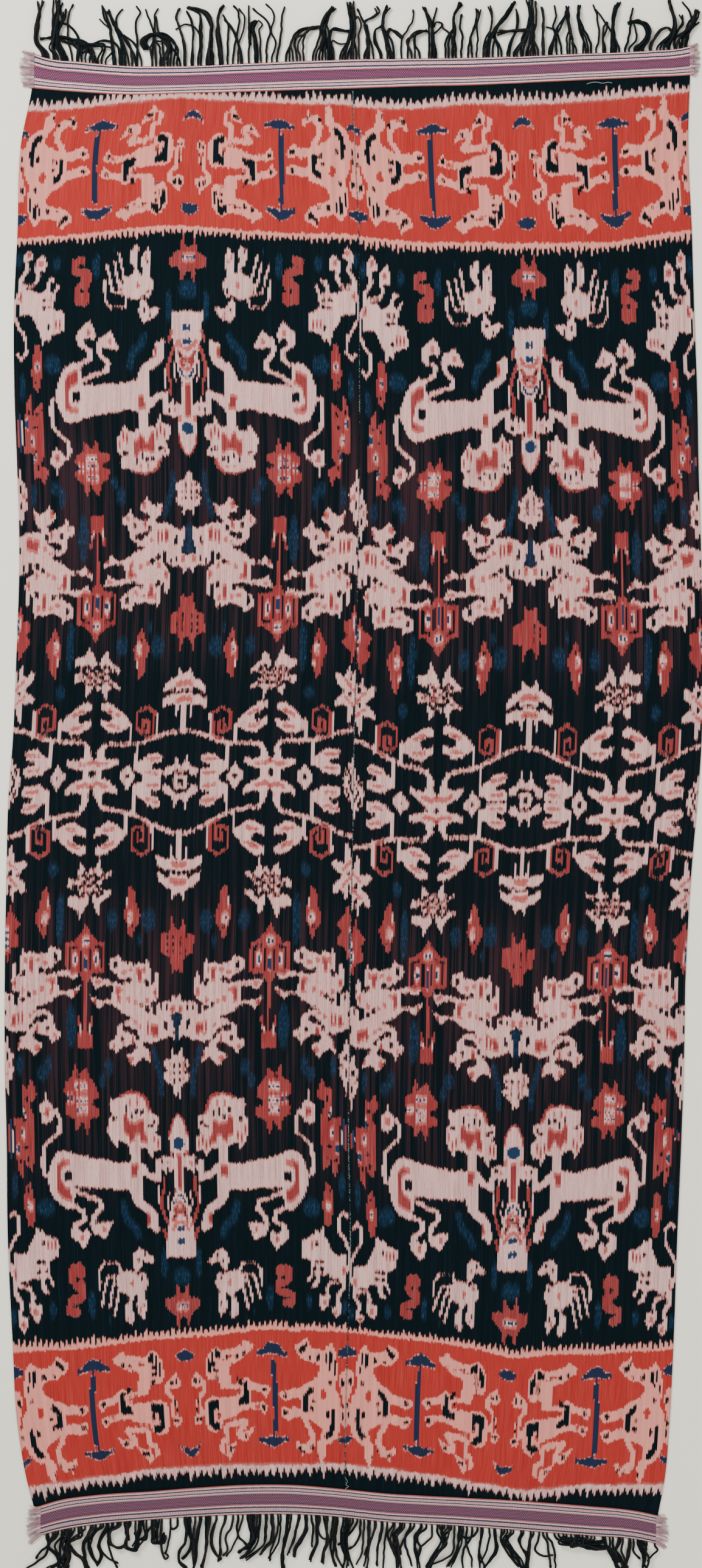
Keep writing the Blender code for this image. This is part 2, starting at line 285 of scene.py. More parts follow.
class DyeChart:
    def __init__(self):
        self.cells = np.zeros((chartSize["centreLine"] + 4, chartSize["halfWidth"] + 3), np.int8)
        self.mirrorAt = None
        self.mirrorSlip = 0

    def copies(self, points):
        points = np.array(points, float)
        yield points
        if self.mirrorAt is not None:
            yield points * (-1, 1) + (2 * self.mirrorAt, self.mirrorSlip)

    # The chart's cells near the points, with the u and v of each cell's middle.
    def near(self, points, margin):
        low = np.maximum(np.floor(points.min(0) - margin), 0).astype(int)
        high = np.minimum(np.ceil(points.max(0) + margin), self.cells.shape[::-1]).astype(int)
        high = np.maximum(high, low)
        u, v = np.meshgrid(np.arange(low[0], high[0]) + 0.5, np.arange(low[1], high[1]) + 0.5)
        return self.cells[low[1]:high[1], low[0]:high[0]], u, v

    # Inside a polygon: a ray from the cell crosses the outline an odd number of times.
    def fill(self, dye, *corners):
        for points in self.copies(corners):
            cells, u, v = self.near(points, 1)
            inside = np.zeros(cells.shape, bool)
            for (ua, va), (ub, vb) in zip(points, np.roll(points, -1, axis=0)):
                if va != vb:
                    inside ^= ((va > v) != (vb > v)) & (u < (ub - ua) * (v - va) / (vb - va) + ua)
            cells[inside] = dye

    # On a line: the nearest point of one of its stretches lies within half the line's width.
    def line(self, dye, width, *route):
        for points in self.copies(route):
            cells, u, v = self.near(points, width)
            for a, b in zip(points[:-1], points[1:]):
                way = b - a
                share = ((u - a[0]) * way[0] + (v - a[1]) * way[1]) / max(way @ way, 1e-9)
                share = np.clip(share, 0, 1)
                off = np.hypot(u - a[0] - share * way[0], v - a[1] - share * way[1])
                cells[off < width / 2] = dye

    # In ovals, each given by the u and v of its middle and by its half sizes.
    def spots(self, dye, *ovals):
        for u0, v0, halfU, halfV in ovals:
            for points in self.copies([(u0, v0)]):
                cells, u, v = self.near(points, max(halfU, halfV) + 1)
                cells[((u - points[0, 0]) / halfU) ** 2 + ((v - points[0, 1]) / halfV) ** 2 < 1] = dye


def drawPoleAndCrescents(c):
    pole = chartSize["pole"]
    c.fill(navy, (pole, 50), (pole + 7.5, 50), (pole + 8.5, 100), (pole + 7.5, 130), (pole + 5, 162),
           (pole - 2.5, 162), (pole - 0.5, 110))
    c.line(navy, 3, (pole + 1, 40), (pole + 1, 172))
    c.mirrorAt = pole
    c.fill(navy, (pole, 189), (pole - 9, 186), (pole - 17, 179), (pole - 26, 174), (pole - 26, 167),
           (pole - 16, 168), (pole, 171))
    c.fill(navy, (pole, 26), (pole - 8, 28), (pole - 17, 32), (pole - 26, 35), (pole - 27, 42),
           (pole - 13, 41), (pole, 44))
    c.mirrorAt = None
    c.fill(navy, (0, 17), (9, 21), (15, 28), (20, 40), (13, 34), (0, 30))
    c.fill(navy, (0, 171), (12, 173), (17, 180), (10, 187), (0, 190))
    c.fill(navy, (277, 30), (268, 34), (261, 45), (270, 43), (277, 41))
    c.fill(navy, (277, 188), (271, 184), (263, 179), (263, 170), (277, 169))
    c.spots(navy, (120, 250, 2, 3))


def drawRearingHorse(c):
    c.fill(pale, (60, 128), (74, 126), (92, 128), (104, 136), (120, 124), (144, 120), (145, 113),
           (138, 102), (130, 110), (112, 116), (109, 97), (124, 96), (142, 91), (134, 74), (126, 84),
           (108, 87), (92, 84), (84, 78), (62, 74), (58, 60), (48, 53), (36, 58), (29, 72), (28, 92),
           (33, 106), (44, 111), (60, 108), (86, 109), (88, 120), (62, 121))
    c.fill(red, (46, 113), (86, 108), (86, 118), (62, 121), (46, 120))
    c.fill(pale, (60, 124), (78, 126), (77, 158), (92, 162), (101, 168), (106, 172), (116, 178), (120, 184),
           (101, 196), (98, 188), (80, 183), (64, 182), (54, 190), (46, 186), (37, 172), (36, 150),
           (40, 138), (58, 136))
    c.fill(ground, (37, 104), (57, 105), (57, 92), (47, 90), (44.5, 70), (55, 70), (56, 58), (47, 58),
           (38, 66))
    c.spots(red, (55, 81, 3.6, 6))
    c.spots(ground, (55, 84, 2.2, 4))
    c.fill(ground, (88, 139), (96, 133), (97, 127), (107, 129), (108, 96), (100, 94), (88, 92), (89, 103),
           (99, 106), (101, 124), (90, 126))
    c.spots(red, (90, 115, 5, 5))
    c.spots(ground, (90, 115, 2.4, 2.6))
    c.spots(pale, (89.5, 114, 1.2, 1))
    c.fill(ground, (40, 150), (45, 148), (44, 174), (40.5, 170))
    c.fill(ground, (46, 160), (49, 158), (49, 184), (46.5, 180))
    c.fill(ground, (50.5, 172), (62, 170), (62, 179), (55, 186), (51, 188))
    for u, v, reach in ((54, 139, 4), (52, 152, 4.6), (52, 163, 4.6)):
        c.spots(ground, (u, v, reach, 2.4))
    for u, v in ((74, 171), (90, 170), (102, 174)):
        c.spots(ground, (u, v, 3.4, 2.8))
    c.line(red, 2.4, (66, 168), (86, 174))
    c.spots(ground, (133, 86, 3.6, 3.6), (135, 114, 3.6, 3.2))
    c.spots(red, (122, 90, 5, 1.6))
    c.fill(pale, (62, 68), (100, 73), (106, 66), (97, 55), (92, 50), (104, 53), (117, 60), (112, 50),
           (104, 38), (94, 38), (85, 42), (84, 52), (92, 62), (72, 60))
    c.spots(ground, (102.5, 46, 3.4, 3.4))
    c.fill(pale, (58, 64), (62, 54), (63, 44), (53, 40), (52, 24), (58, 18), (64, 16), (69, 9), (73, 17),
           (80, 26), (88, 40), (80, 36), (70, 32), (62, 34), (70, 40), (70, 62))
    c.spots(ground, (71, 26, 3, 3), (77, 27, 2.6, 3.4))
    c.spots(red, (62, 27, 2.6, 8))
    c.fill(pale, (21, 80), (26, 82), (25, 112), (36, 122), (36, 136), (30, 142), (22, 150), (17, 155),
           (15, 146), (9, 140), (11, 130), (22, 128), (28, 130), (27, 122), (20, 116))
    c.fill(pale, (9, 82), (12, 70), (22, 68), (25, 78), (22, 86), (16, 84))
    c.line(pale, 3.4, (16, 84), (17, 106))
    for u, v, halfV in ((16, 139, 4), (24.5, 138, 4), (15.5, 77, 3.4), (21, 78, 3), (17, 93, 3),
                        (19, 106, 4)):
        c.spots(ground, (u, v, 2.4, halfV))


def drawLeapingHorse(c):
    c.fill(pale, (196, 72), (206, 71), (216, 68), (226, 62), (236, 56), (235, 38), (240, 32), (250, 32),
           (258, 38), (266, 50), (270, 66), (270, 88), (266, 108), (258, 122), (262, 140), (262, 160),
           (258, 178), (250, 190), (243, 184), (238, 178), (228, 180), (216, 182), (211, 190), (208, 198),
           (202, 194), (196, 190), (188, 186), (190, 178), (198, 168), (208, 162), (224, 160), (232, 154),
           (232, 146), (226, 136), (216, 130), (206, 126), (198, 118), (196, 106), (200, 98), (198, 86))
    c.fill(pale, (198, 73), (184, 70), (176, 66), (168, 70), (162, 84), (170, 88), (180, 84), (188, 88),
           (199, 86))
    c.fill(pale, (198, 104), (186, 102), (176, 98), (166, 100), (160, 108), (166, 114), (178, 114),
           (190, 118), (199, 118))
    c.spots(ground, (172, 78, 4.6, 3.4), (172, 107, 4.6, 3.6))
    c.fill(pale, (189, 34), (191, 24), (198, 22), (199, 10), (203, 16), (207, 18), (214, 18), (222, 24),
           (224, 40), (222, 52), (216, 60), (210, 72), (202, 72), (206, 60), (213, 52), (214, 38),
           (206, 30), (198, 30), (194, 36))
    c.fill(pale, (277, 58), (270, 62), (268, 80), (272, 100), (268, 116), (265, 132), (268, 146),
           (277, 150))
    c.fill(pale, (227, 24), (230, 8), (236, 2), (242, 14), (243, 34), (237, 40), (228, 34))
    for u, v, halfU, halfV in ((197, 23, 3.2, 3), (204, 19, 4.6, 2), (219, 26, 2.8, 4), (230, 14, 2.4, 2.4),
                               (250, 129, 3, 4), (213, 167, 3, 2.4), (221, 98, 3.4, 3.4), (272, 76, 2.2, 5),
                               (273, 92, 2, 4), (271, 129, 2.8, 6)):
        c.spots(ground, (u, v, halfU, halfV))
    c.fill(ground, (241, 42), (247, 40), (253, 44), (258, 54), (260, 70), (258, 88), (253, 88), (252, 62),
           (248, 52), (242, 48))
    c.spots(ground, (246, 78, 3, 5))
    c.fill(ground, (204, 83), (212, 81), (212, 92), (211, 104), (214, 108), (221, 112), (221, 121),
           (214, 120), (209, 114), (204, 106))
    c.fill(ground, (214, 84), (222, 80), (222, 87), (214, 91))
    c.fill(ground, (195, 179), (200, 174), (206, 179), (210, 186), (210, 194), (204, 186), (196, 183))
    c.fill(ground, (225, 163), (233, 162), (233, 171), (226, 170))
    for u, low, high in ((242.7, 158, 176), (247.7, 150, 178), (252.2, 158, 178), (256.8, 142, 166)):
        c.fill(ground, (u - 1.4, low + 2), (u + 1.4, low), (u + 1.2, high), (u - 1.2, high - 3))
    c.spots(red, (238, 110, 5, 9))


def drawRooster(c):
    c.fill(pale, (54, 305), (60, 296), (72, 292), (84, 284), (92, 292), (100, 296), (106, 300), (112, 318),
           (97, 327), (88, 331), (76, 327), (70, 322), (64, 328), (58, 322))
    c.fill(pale, (42, 344), (50, 340), (62, 344), (65, 334), (74, 326), (78, 342), (77, 358), (68, 366),
           (58, 362), (50, 354))
    c.line(pale, 4.4, (97, 326), (100, 341), (122, 343), (127, 337), (132, 328), (133, 302))
    c.line(pale, 4.4, (105, 322), (120, 320), (125, 300), (131, 277))
    c.line(pale, 4.4, (110, 310), (114, 296), (118, 274))
    c.line(pale, 4.4, (102, 300), (106, 284), (112, 258))
    c.fill(pale, (62, 296), (74, 292), (75, 262), (64, 246), (60, 262), (60, 280))
    c.fill(pale, (80, 288), (93, 276), (95, 250), (84, 238), (80, 250), (82, 270))
    for u, v in ((59, 354), (69, 346), (64, 317), (105, 303), (106, 316), (65, 272), (91, 250)):
        c.spots(ground, (u, v, 2.2, 3.4))
    c.spots(red, (80, 308, 3, 6), (69, 264, 2, 5))


def drawSnake(c):
    c.fill(red, (155, 333), (163, 340), (180, 337), (182, 312), (174, 303), (164, 297), (174, 294),
           (187, 288), (188, 268), (180, 262), (168, 262), (166, 273), (180, 277), (178, 281), (163, 282),
           (155, 290), (155, 308), (160, 316), (155, 322))
    c.spots(ground, (168, 316, 3, 4))


def drawCat(c):
    c.fill(pale, (196, 378), (209, 384), (218, 388), (221, 398), (226, 392), (233, 404), (235, 386),
           (243, 369), (249, 356), (258, 353), (270, 355), (271, 322), (262, 312), (250, 312), (241, 319),
           (224, 314), (214, 320), (213, 343), (197, 350))
    c.spots(ground, (222, 374, 2.6, 4))
    for u in (203, 209, 215):
        c.line(red, 2.2, (u, 362), (u, 376))
    for u, v in ((221, 341), (230, 343), (219, 329), (230, 329)):
        c.spots(ground, (u, v, 4, 2.6))
    c.line(pale, 5, (216, 342), (214, 322), (208, 308))
    c.line(pale, 7, (226, 317), (222, 300), (216, 298))
    c.line(pale, 6, (268, 320), (262, 306), (246, 304), (240, 292), (243, 282), (242, 268))
    c.line(pale, 7, (269, 318), (268, 296), (258, 280), (262, 266))
    c.fill(pale, (227, 268), (233, 252), (240, 258), (246, 270), (244, 283), (228, 282))
    c.fill(pale, (248, 262), (252, 244), (258, 236), (266, 250), (266, 268))
    c.spots(red, (237, 270, 4.6, 5.6), (257, 250, 3.6, 7), (268, 324, 3, 9))
    c.line(pale, 5.5, (272, 322), (277, 340), (277, 358), (267, 379), (259, 390), (258, 414), (266, 425),
           (272, 416))


def drawEyedStar(c):
    c.fill(red, (0, 286), (4, 291), (8, 304), (11, 302), (12, 284), (20, 282), (29, 280), (29, 270),
           (20, 260), (13, 253), (12, 238), (9, 228), (5, 246), (0, 250))
    c.fill(pale, (0, 271), (10, 271), (10, 264), (0, 264))
    c.spots(blue, (8, 268, 2.6, 3.4), (2, 268, 2.4, 3))


def drawSkullTree(c):
    c.fill(pale, (0, 583), (5, 577), (11, 562), (15, 545), (15, 524), (8, 520), (8, 462), (13, 446),
           (16, 426), (20, 404), (24, 384), (25, 348), (0, 347))
    c.line(red, 3.4, (0, 584), (6, 576), (12, 560), (14, 546))
    c.spots(blue, (0, 535, 9, 10))
    c.fill(red, (0, 519), (4, 519), (4, 460), (0, 458))
    c.fill(red, (10, 524), (15, 524), (14, 508), (10, 510))
    c.line(ground, 3, (8, 462), (10, 455), (13, 448))
    c.line(blue, 4, (0, 452), (6, 448), (10, 438))
    for v, reach in ((440, 10), (424, 13), (408, 14)):
        c.line(red, 6.5, (0, v), (reach * 0.6, v - 5), (reach, v - 14))
    c.line(ground, 2, (1, 430), (8, 424), (12, 412))
    c.spots(blue, (3, 396, 4, 5), (3, 374, 3, 6))
    c.line(red, 5, (23, 379), (28, 395))
    c.line(red, 5, (18, 402), (24, 414), (29, 430), (31, 446), (25, 462), (26, 480))
    c.line(pale, 3, (17, 424), (20, 440), (17, 458))
    c.line(pale, 3, (34, 438), (33, 470))


def drawLion(c):
    c.fill(pale, (34, 397), (39, 390), (45, 396), (53, 399), (54, 421), (60, 427), (68, 431), (76, 441),
           (81, 459), (101, 460), (141, 463), (168, 465), (168, 449), (172, 429), (180, 426), (190, 432),
           (200, 444), (206, 457), (210, 473), (211, 490), (205, 508), (196, 524), (185, 528), (168, 522),
           (148, 515), (120, 510), (100, 505), (79, 508), (79, 535), (63, 535), (63, 508), (57, 503),
           (48, 492), (40, 489), (39, 510), (24, 517), (8, 512), (8, 496), (16, 489), (19, 496), (23, 484),
           (27, 495), (31, 489), (30, 474), (39, 474), (52, 480), (60, 486), (60, 446), (52, 440),
           (42, 432), (37, 422))
    c.fill(red, (47, 404), (53, 402), (53, 425), (48, 422))
    c.fill(red, (67, 505), (79, 505), (79, 481), (68, 481))
    c.spots(red, (19, 503, 2.4, 4))
    c.spots(ground, (28, 506, 2, 3))
    c.line(ground, 7, (148, 456), (164, 459))
    c.fill(red, (174, 511), (186, 513), (195, 506), (195, 456), (192, 440), (174, 439), (174, 462),
           (184, 468), (189, 478), (190, 492), (184, 499), (174, 500))
    c.fill(ground, (171, 490), (183, 490), (183, 476), (171, 476))
    c.line(pale, 8, (168, 459), (150, 449), (128, 442), (126, 430), (138, 417), (141, 402))
    c.fill(pale, (109, 408), (110, 402), (116, 390), (122, 378), (130, 384), (140, 388), (144, 400),
           (134, 405), (122, 408))
    c.spots(red, (123, 396, 3.4, 6))
    c.line(pale, 8, (198, 447), (186, 438), (168, 431), (155, 424), (154, 410), (170, 400))
    c.fill(pale, (144, 386), (149, 372), (156, 362), (163, 370), (175, 380), (176, 392), (172, 404),
           (162, 404), (164, 394), (156, 390), (150, 396))
    c.spots(red, (157, 381, 3.4, 6))
    c.line(pale, 7, (208, 484), (217, 487), (219, 507), (216, 533), (205, 546), (192, 556), (190, 578),
           (197, 594))
    c.fill(pale, (197, 590), (203, 604), (211, 612), (222, 604), (221, 572), (212, 568), (203, 574))
    c.line(pale, 2.6, (212, 608), (213, 628))
    c.fill(red, (206, 598), (215, 598), (216, 584), (208, 578))
    c.fill(pale, (29, 524), (27, 548), (36, 555), (32, 563), (30, 581), (36, 586), (43, 584), (44, 597),
           (50, 611), (60, 621), (76, 622), (87, 619), (98, 611), (108, 613), (110, 600), (106, 586),
           (113, 577), (114, 552), (108, 540), (100, 526), (96, 539), (86, 536), (79, 531), (63, 529),
           (52, 529), (43, 511), (41, 524), (34, 526))
    c.line(red, 6, (45, 588), (50, 607), (61, 618), (76, 620), (90, 614))
    c.fill(red, (53, 537), (61, 537), (62, 549), (68, 551), (71, 541), (78, 537), (80, 549), (88, 551),
           (88, 583), (82, 587), (78, 574), (66, 572), (60, 578), (54, 576))
    for u, v in ((66, 590), (74, 582), (83, 592), (57, 588)):
        c.spots(ground, (u, v, 1.8, 5))
    for u, v in ((64, 604), (76, 604)):
        c.spots(red, (u, v, 1.6, 6))
    c.spots(ground, (44, 566, 3.6, 2.4), (101, 578, 4, 2.4), (37, 572, 2.4, 3))
    for u, v in ((33, 538), (38, 541), (44, 534), (50, 541), (97, 551), (103, 546), (109, 561)):
        c.line(red, 2.4, (u, v - 8), (u, v + 8))


def drawEdgeRooster(c):
    c.fill(red, (234, 492), (240, 498), (246, 503), (249, 515), (251, 479), (258, 492), (262, 520),
           (264, 580), (252, 578), (243, 571), (244, 585), (249, 600), (249, 634), (241, 628), (234, 646),
           (226, 620), (228, 612), (238, 606), (238, 598), (232, 584), (232, 545))
    c.spots(ground, (243, 610, 2.2, 6), (242, 512, 3, 4), (245, 532, 3.6, 3), (255, 508, 2, 4))
    c.spots(pale, (250, 554, 3.6, 7))
    c.spots(blue, (251, 555, 2, 4), (258, 527, 3.2, 7))
    c.fill(pale, (244, 577), (248, 580), (250, 594), (247, 598))
    c.spots(blue, (247, 586, 1.8, 6))
    for u, low, high, dye in ((266.5, 522, 560, pale), (269.5, 512, 574, blue), (272.5, 524, 566, red)):
        c.line(dye, 1.9, (u, low), (u, high))
    c.fill(red, (236, 402), (244, 402), (248, 425), (250, 446), (247, 466), (239, 476), (236, 462),
           (232, 440), (233, 420))
    c.spots(pale, (241, 436, 4.5, 5))
    c.spots(blue, (241, 436, 2.8, 3))
    c.spots(ground, (243, 460, 2, 3))


def drawGridFlower(c):
    c.fill(red, (147, 550), (155, 576), (165, 555), (168, 578), (181, 586), (182, 600), (176, 611),
           (183, 622), (182, 636), (170, 645), (166, 668), (158, 650), (146, 663), (141, 645), (130, 630),
           (127, 613), (140, 607), (140, 601), (127, 594), (127, 581), (142, 577))
    for u in (149, 155.5, 162):
        for v in (593, 608, 631):
            c.spots(pale, (u, v, 3, 6))
            c.spots(blue, (u, v, 2, 3.6))
    for u in (170, 176):
        c.spots(pale, (u, 612, 2.4, 6))
        c.spots(blue, (u, 612, 1.8, 4))
    c.spots(ground, (160, 648, 4, 2))


def drawWhiteStars(c):
    c.fill(pale, (0, 622), (3, 606), (6, 628), (11, 634), (20, 640), (21, 652), (16, 656), (21, 664),
           (19, 676), (10, 678), (9, 698), (4, 684), (0, 682))
    for v in (640, 652, 664):
        c.spots(ground, (5, v, 1.8, 2.6))
        c.spots(red, (11, v + 3, 1.6, 3))
        c.spots(ground, (15, v + 2, 1.4, 2))
    c.fill(pale, (277, 640), (272, 610), (270, 636), (264, 648), (260, 662), (265, 668), (260, 682),
           (268, 690), (271, 713), (277, 698))
    c.spots(red, (268, 664, 2.4, 5))
    c.spots(ground, (272, 678, 1.8, 5), (273, 652, 1.6, 4))


def drawDragonAndPole(c):
    pole = 148
    c.mirrorAt, c.mirrorSlip = pole, 16
    c.fill(pale, (41, 669), (46, 672), (53, 676), (61, 671), (67, 662), (74, 669), (81, 680), (78, 686),
           (69, 690), (64, 695), (68, 702), (81, 698), (91, 693), (96, 681), (101, 691), (108, 694),
           (110, 700), (109, 708), (101, 710), (97, 721), (98, 728), (93, 735), (84, 741), (68, 742),
           (84, 748), (94, 754), (102, 762), (112, 765), (120, 762), (126, 755), (130, 762), (138, 771),
           (141, 781), (126, 773), (112, 772), (104, 773), (103, 794), (119, 794), (126, 790), (132, 788),
           (136, 797), (142, 809), (128, 808), (112, 805), (101, 803), (88, 800), (76, 804), (84, 805),
           (94, 809), (97, 814), (108, 820), (110, 828), (108, 840), (98, 844), (92, 848), (89, 837),
           (70, 832), (60, 836), (50, 833), (48, 843), (43, 826), (43, 804), (38, 798), (36, 820),
           (31, 818), (29, 786), (32, 774), (42, 768), (40, 750), (34, 752), (34, 767), (24, 772),
           (10, 772), (7, 784), (0, 774), (0, 752), (12, 748), (9, 742), (5, 726), (4, 706), (12, 713),
           (20, 710), (30, 704), (40, 702), (55, 703), (52, 697), (46, 693), (42, 684))
    c.fill(ground, (64, 717), (71, 719), (87, 724), (87, 730), (78, 730), (70, 725), (64, 721))
    c.fill(ground, (16, 722), (21, 728), (22, 738), (17, 736))
    c.fill(ground, (44, 798), (50, 796), (52, 806), (46, 804))
    c.fill(red, (41, 675), (45, 677), (46, 689), (42, 684))
    c.spots(red, (72, 676, 4.5, 6))
    c.fill(red, (30, 713), (38, 710), (38, 716), (50, 714), (49, 739), (42, 736), (32, 734))
    for u in (39.5, 45):
        c.line(pale, 2, (u, 720), (u, 738))
    c.spots(red, (71, 707, 2.6, 8), (100, 698, 2.6, 5))
    c.spots(ground, (88, 709, 3, 3), (62, 712, 3.4, 3))
    c.spots(red, (60, 730, 3, 5), (68, 736, 4, 3), (8, 759, 3.6, 7))
    c.spots(ground, (18, 760, 2.4, 3), (27, 762, 2, 3), (48, 758, 3.6, 4), (58, 765, 4, 3))
    c.spots(red, (48, 772, 3, 6), (66, 769, 3.4, 5))
    c.fill(red, (90, 766), (97, 768), (98, 794), (91, 796), (88, 786), (92, 780))
    c.spots(red, (77, 774, 3.6, 5), (86, 790, 3, 4), (35, 786, 3, 8), (132, 768, 3, 5), (128, 800, 6, 4))
    c.fill(red, (57, 802), (63, 800), (64, 828), (57, 826))
    c.spots(red, (52, 822, 3.4, 6), (84, 818, 5, 4), (72, 822, 4, 4))
    c.spots(ground, (99, 829, 3, 5), (76, 806, 4, 3))
    c.mirrorSlip = 0
    c.fill(red, (pole, 898), (pole - 8, 882), (pole - 20, 869), (pole - 32, 867), (pole - 32, 817),
           (pole - 10, 815), (pole - 6, 803), (pole, 801))
    c.fill(ground, (pole - 27, 860), (pole - 23, 860), (pole - 23, 824), (pole - 27, 822))
    c.fill(ground, (pole - 24, 862), (pole - 12, 864), (pole - 12, 859), (pole - 24, 856))
    c.fill(ground, (pole - 9, 856), (pole - 5.5, 856), (pole - 5.5, 818), (pole - 9, 820))
    c.spots(pale, (pole - 17, 840, 3.6, 11))
    c.spots(blue, (pole - 16, 838, 1.9, 6))
    c.spots(pale, (pole, 870, 7, 6))
    c.spots(blue, (pole - 3, 869, 2, 4), (pole, 832, 1.8, 17))
    c.fill(red, (pole - 2, 806), (pole + 2, 806), (pole + 2, 716), (pole - 2, 716))
    c.fill(red, (pole - 11, 694), (pole, 694), (pole, 720), (pole - 5, 722), (pole - 9, 746),
           (pole - 13, 745), (pole - 12, 732), (pole - 8, 724), (pole - 11, 716))
    c.spots(pale, (pole - 8, 725, 1.6, 6))
    c.mirrorAt = None


def drawRedStarsAndOvals(c):
    c.fill(red, (0, 821), (5, 822), (9, 811), (11, 838), (15, 844), (27, 850), (28, 880), (14, 882),
           (11, 912), (6, 892), (0, 885))
    for v in (850, 862, 874):
        c.spots(ground, (7, v, 1.4, 3), (16, v + 2, 1.2, 3))
    c.fill(red, (277, 850), (272, 836), (268, 857), (256, 862), (255, 875), (262, 885), (253, 896),
           (260, 906), (267, 914), (270, 932), (277, 905))
    c.fill(pale, (277, 890), (273, 890), (272, 856), (277, 856))
    for v in (860, 870, 881):
        c.spots(blue, (275, v, 2, 4))
    c.mirrorAt = 144.5
    c.fill(red, (73, 871), (79, 882), (81, 897), (86, 908), (84, 925), (80, 945), (78, 962), (69, 950),
           (66, 925), (60, 912), (62, 898), (69, 886))
    c.spots(pale, (76, 906, 5, 9))
    c.spots(red, (75, 907, 3.4, 6))
    c.spots(pale, (76, 907, 2, 3))
    c.spots(blue, (78, 909, 1.6, 3))
    c.spots(pale, (81, 934, 1.6, 8))
    c.spots(ground, (73, 892, 2, 3))
    c.mirrorAt = None


def drawSixPointStars(c):
    c.fill(pale, (128, 908), (134, 918), (139, 932), (141, 942), (146, 930), (152, 918), (159, 902),
           (162, 920), (180, 926), (178, 941), (160, 945), (162, 952), (180, 955), (178, 971), (163, 968),
           (160, 997), (153, 988), (148, 976), (141, 986), (136, 982), (128, 1004), (126, 984), (118, 977),
           (107, 983), (106, 976), (122, 964), (124, 956), (118, 950), (108, 952), (106, 945), (119, 933),
           (125, 926))
    c.line(red, 3.4, (152, 938), (154, 966))
    c.line(red, 2, (135, 968), (148, 958))
    c.line(ground, 4, (121, 948), (129, 939), (136, 949), (143, 941), (151, 949), (158, 940), (168, 947))
    c.line(ground, 4, (118, 960), (129, 953), (137, 962), (144, 955), (152, 963), (160, 954), (170, 960))
    c.line(ground, 4, (120, 973), (131, 966), (138, 975), (146, 968), (153, 976), (163, 967))
    c.fill(pale, (0, 950), (6, 946), (10, 935), (13, 954), (24, 960), (33, 968), (37, 987), (29, 982),
           (22, 977), (15, 975), (15, 984), (28, 990), (37, 996), (37, 1011), (30, 1010), (22, 1006),
           (14, 1006), (12, 1034), (9, 1010), (4.5, 1004), (4, 1056), (0, 1056))
    c.fill(red, (0, 973), (14, 974), (15, 966), (8, 961), (0, 961))
    c.fill(red, (0, 1001), (12, 1003), (15, 996), (9, 990), (0, 990))
    c.line(ground, 3.4, (0, 981), (8, 982), (15, 986))
    c.fill(pale, (277, 1004), (270, 1034), (267, 1034), (264, 1002), (246, 1006), (245, 996), (252, 986),
           (262, 980), (256, 974), (248, 966), (244, 950), (252, 948), (258, 956), (264, 950), (266, 932),
           (271, 950), (277, 945))
    c.line(red, 5.5, (262, 962), (270, 972), (277, 980))
    c.line(red, 5.5, (262, 990), (270, 998), (277, 1004))
    c.spots(ground, (271, 958, 2.4, 5), (270, 984, 3, 4))


def drawVineAndBirds(c):
    c.mirrorAt, c.mirrorSlip = 143.5, -6
    c.line(pale, 8, (0, 1049), (20, 1053), (40, 1060), (58, 1069), (76, 1076), (100, 1080), (125, 1083),
           (131, 1092), (136, 1102))
    c.mirrorSlip = -3
    c.fill(pale, (41, 1066), (45.5, 1066), (45.5, 1018), (41, 1020))
    c.line(red, 5, (66, 1045), (66, 1033), (57, 1036), (57, 1053), (68, 1056), (76, 1049), (76, 1020),
           (61, 1010), (48, 1020), (48, 1060), (60, 1067))
    c.mirrorSlip = -8
    c.fill(pale, (83, 1080), (88.5, 1082), (88.5, 1042), (83, 1042))
    c.fill(pale, (71, 1124), (76.5, 1124), (76.5, 1076), (71, 1076))
    c.mirrorSlip = 2
    c.fill(pale, (84, 1044), (90, 1034), (100, 1022), (112, 1013), (124, 1004), (136, 1006), (136, 1018),
           (126, 1023), (116, 1028), (115, 1036), (120, 1040), (128, 1038), (137, 1034), (136, 1048),
           (128, 1053), (119, 1061), (104, 1060), (96, 1054), (88, 1050))
    c.line(red, 7, (107, 1027), (123, 1018))
    c.line(red, 7, (106, 1050), (122, 1047))
    c.mirrorAt, c.mirrorSlip = None, 0


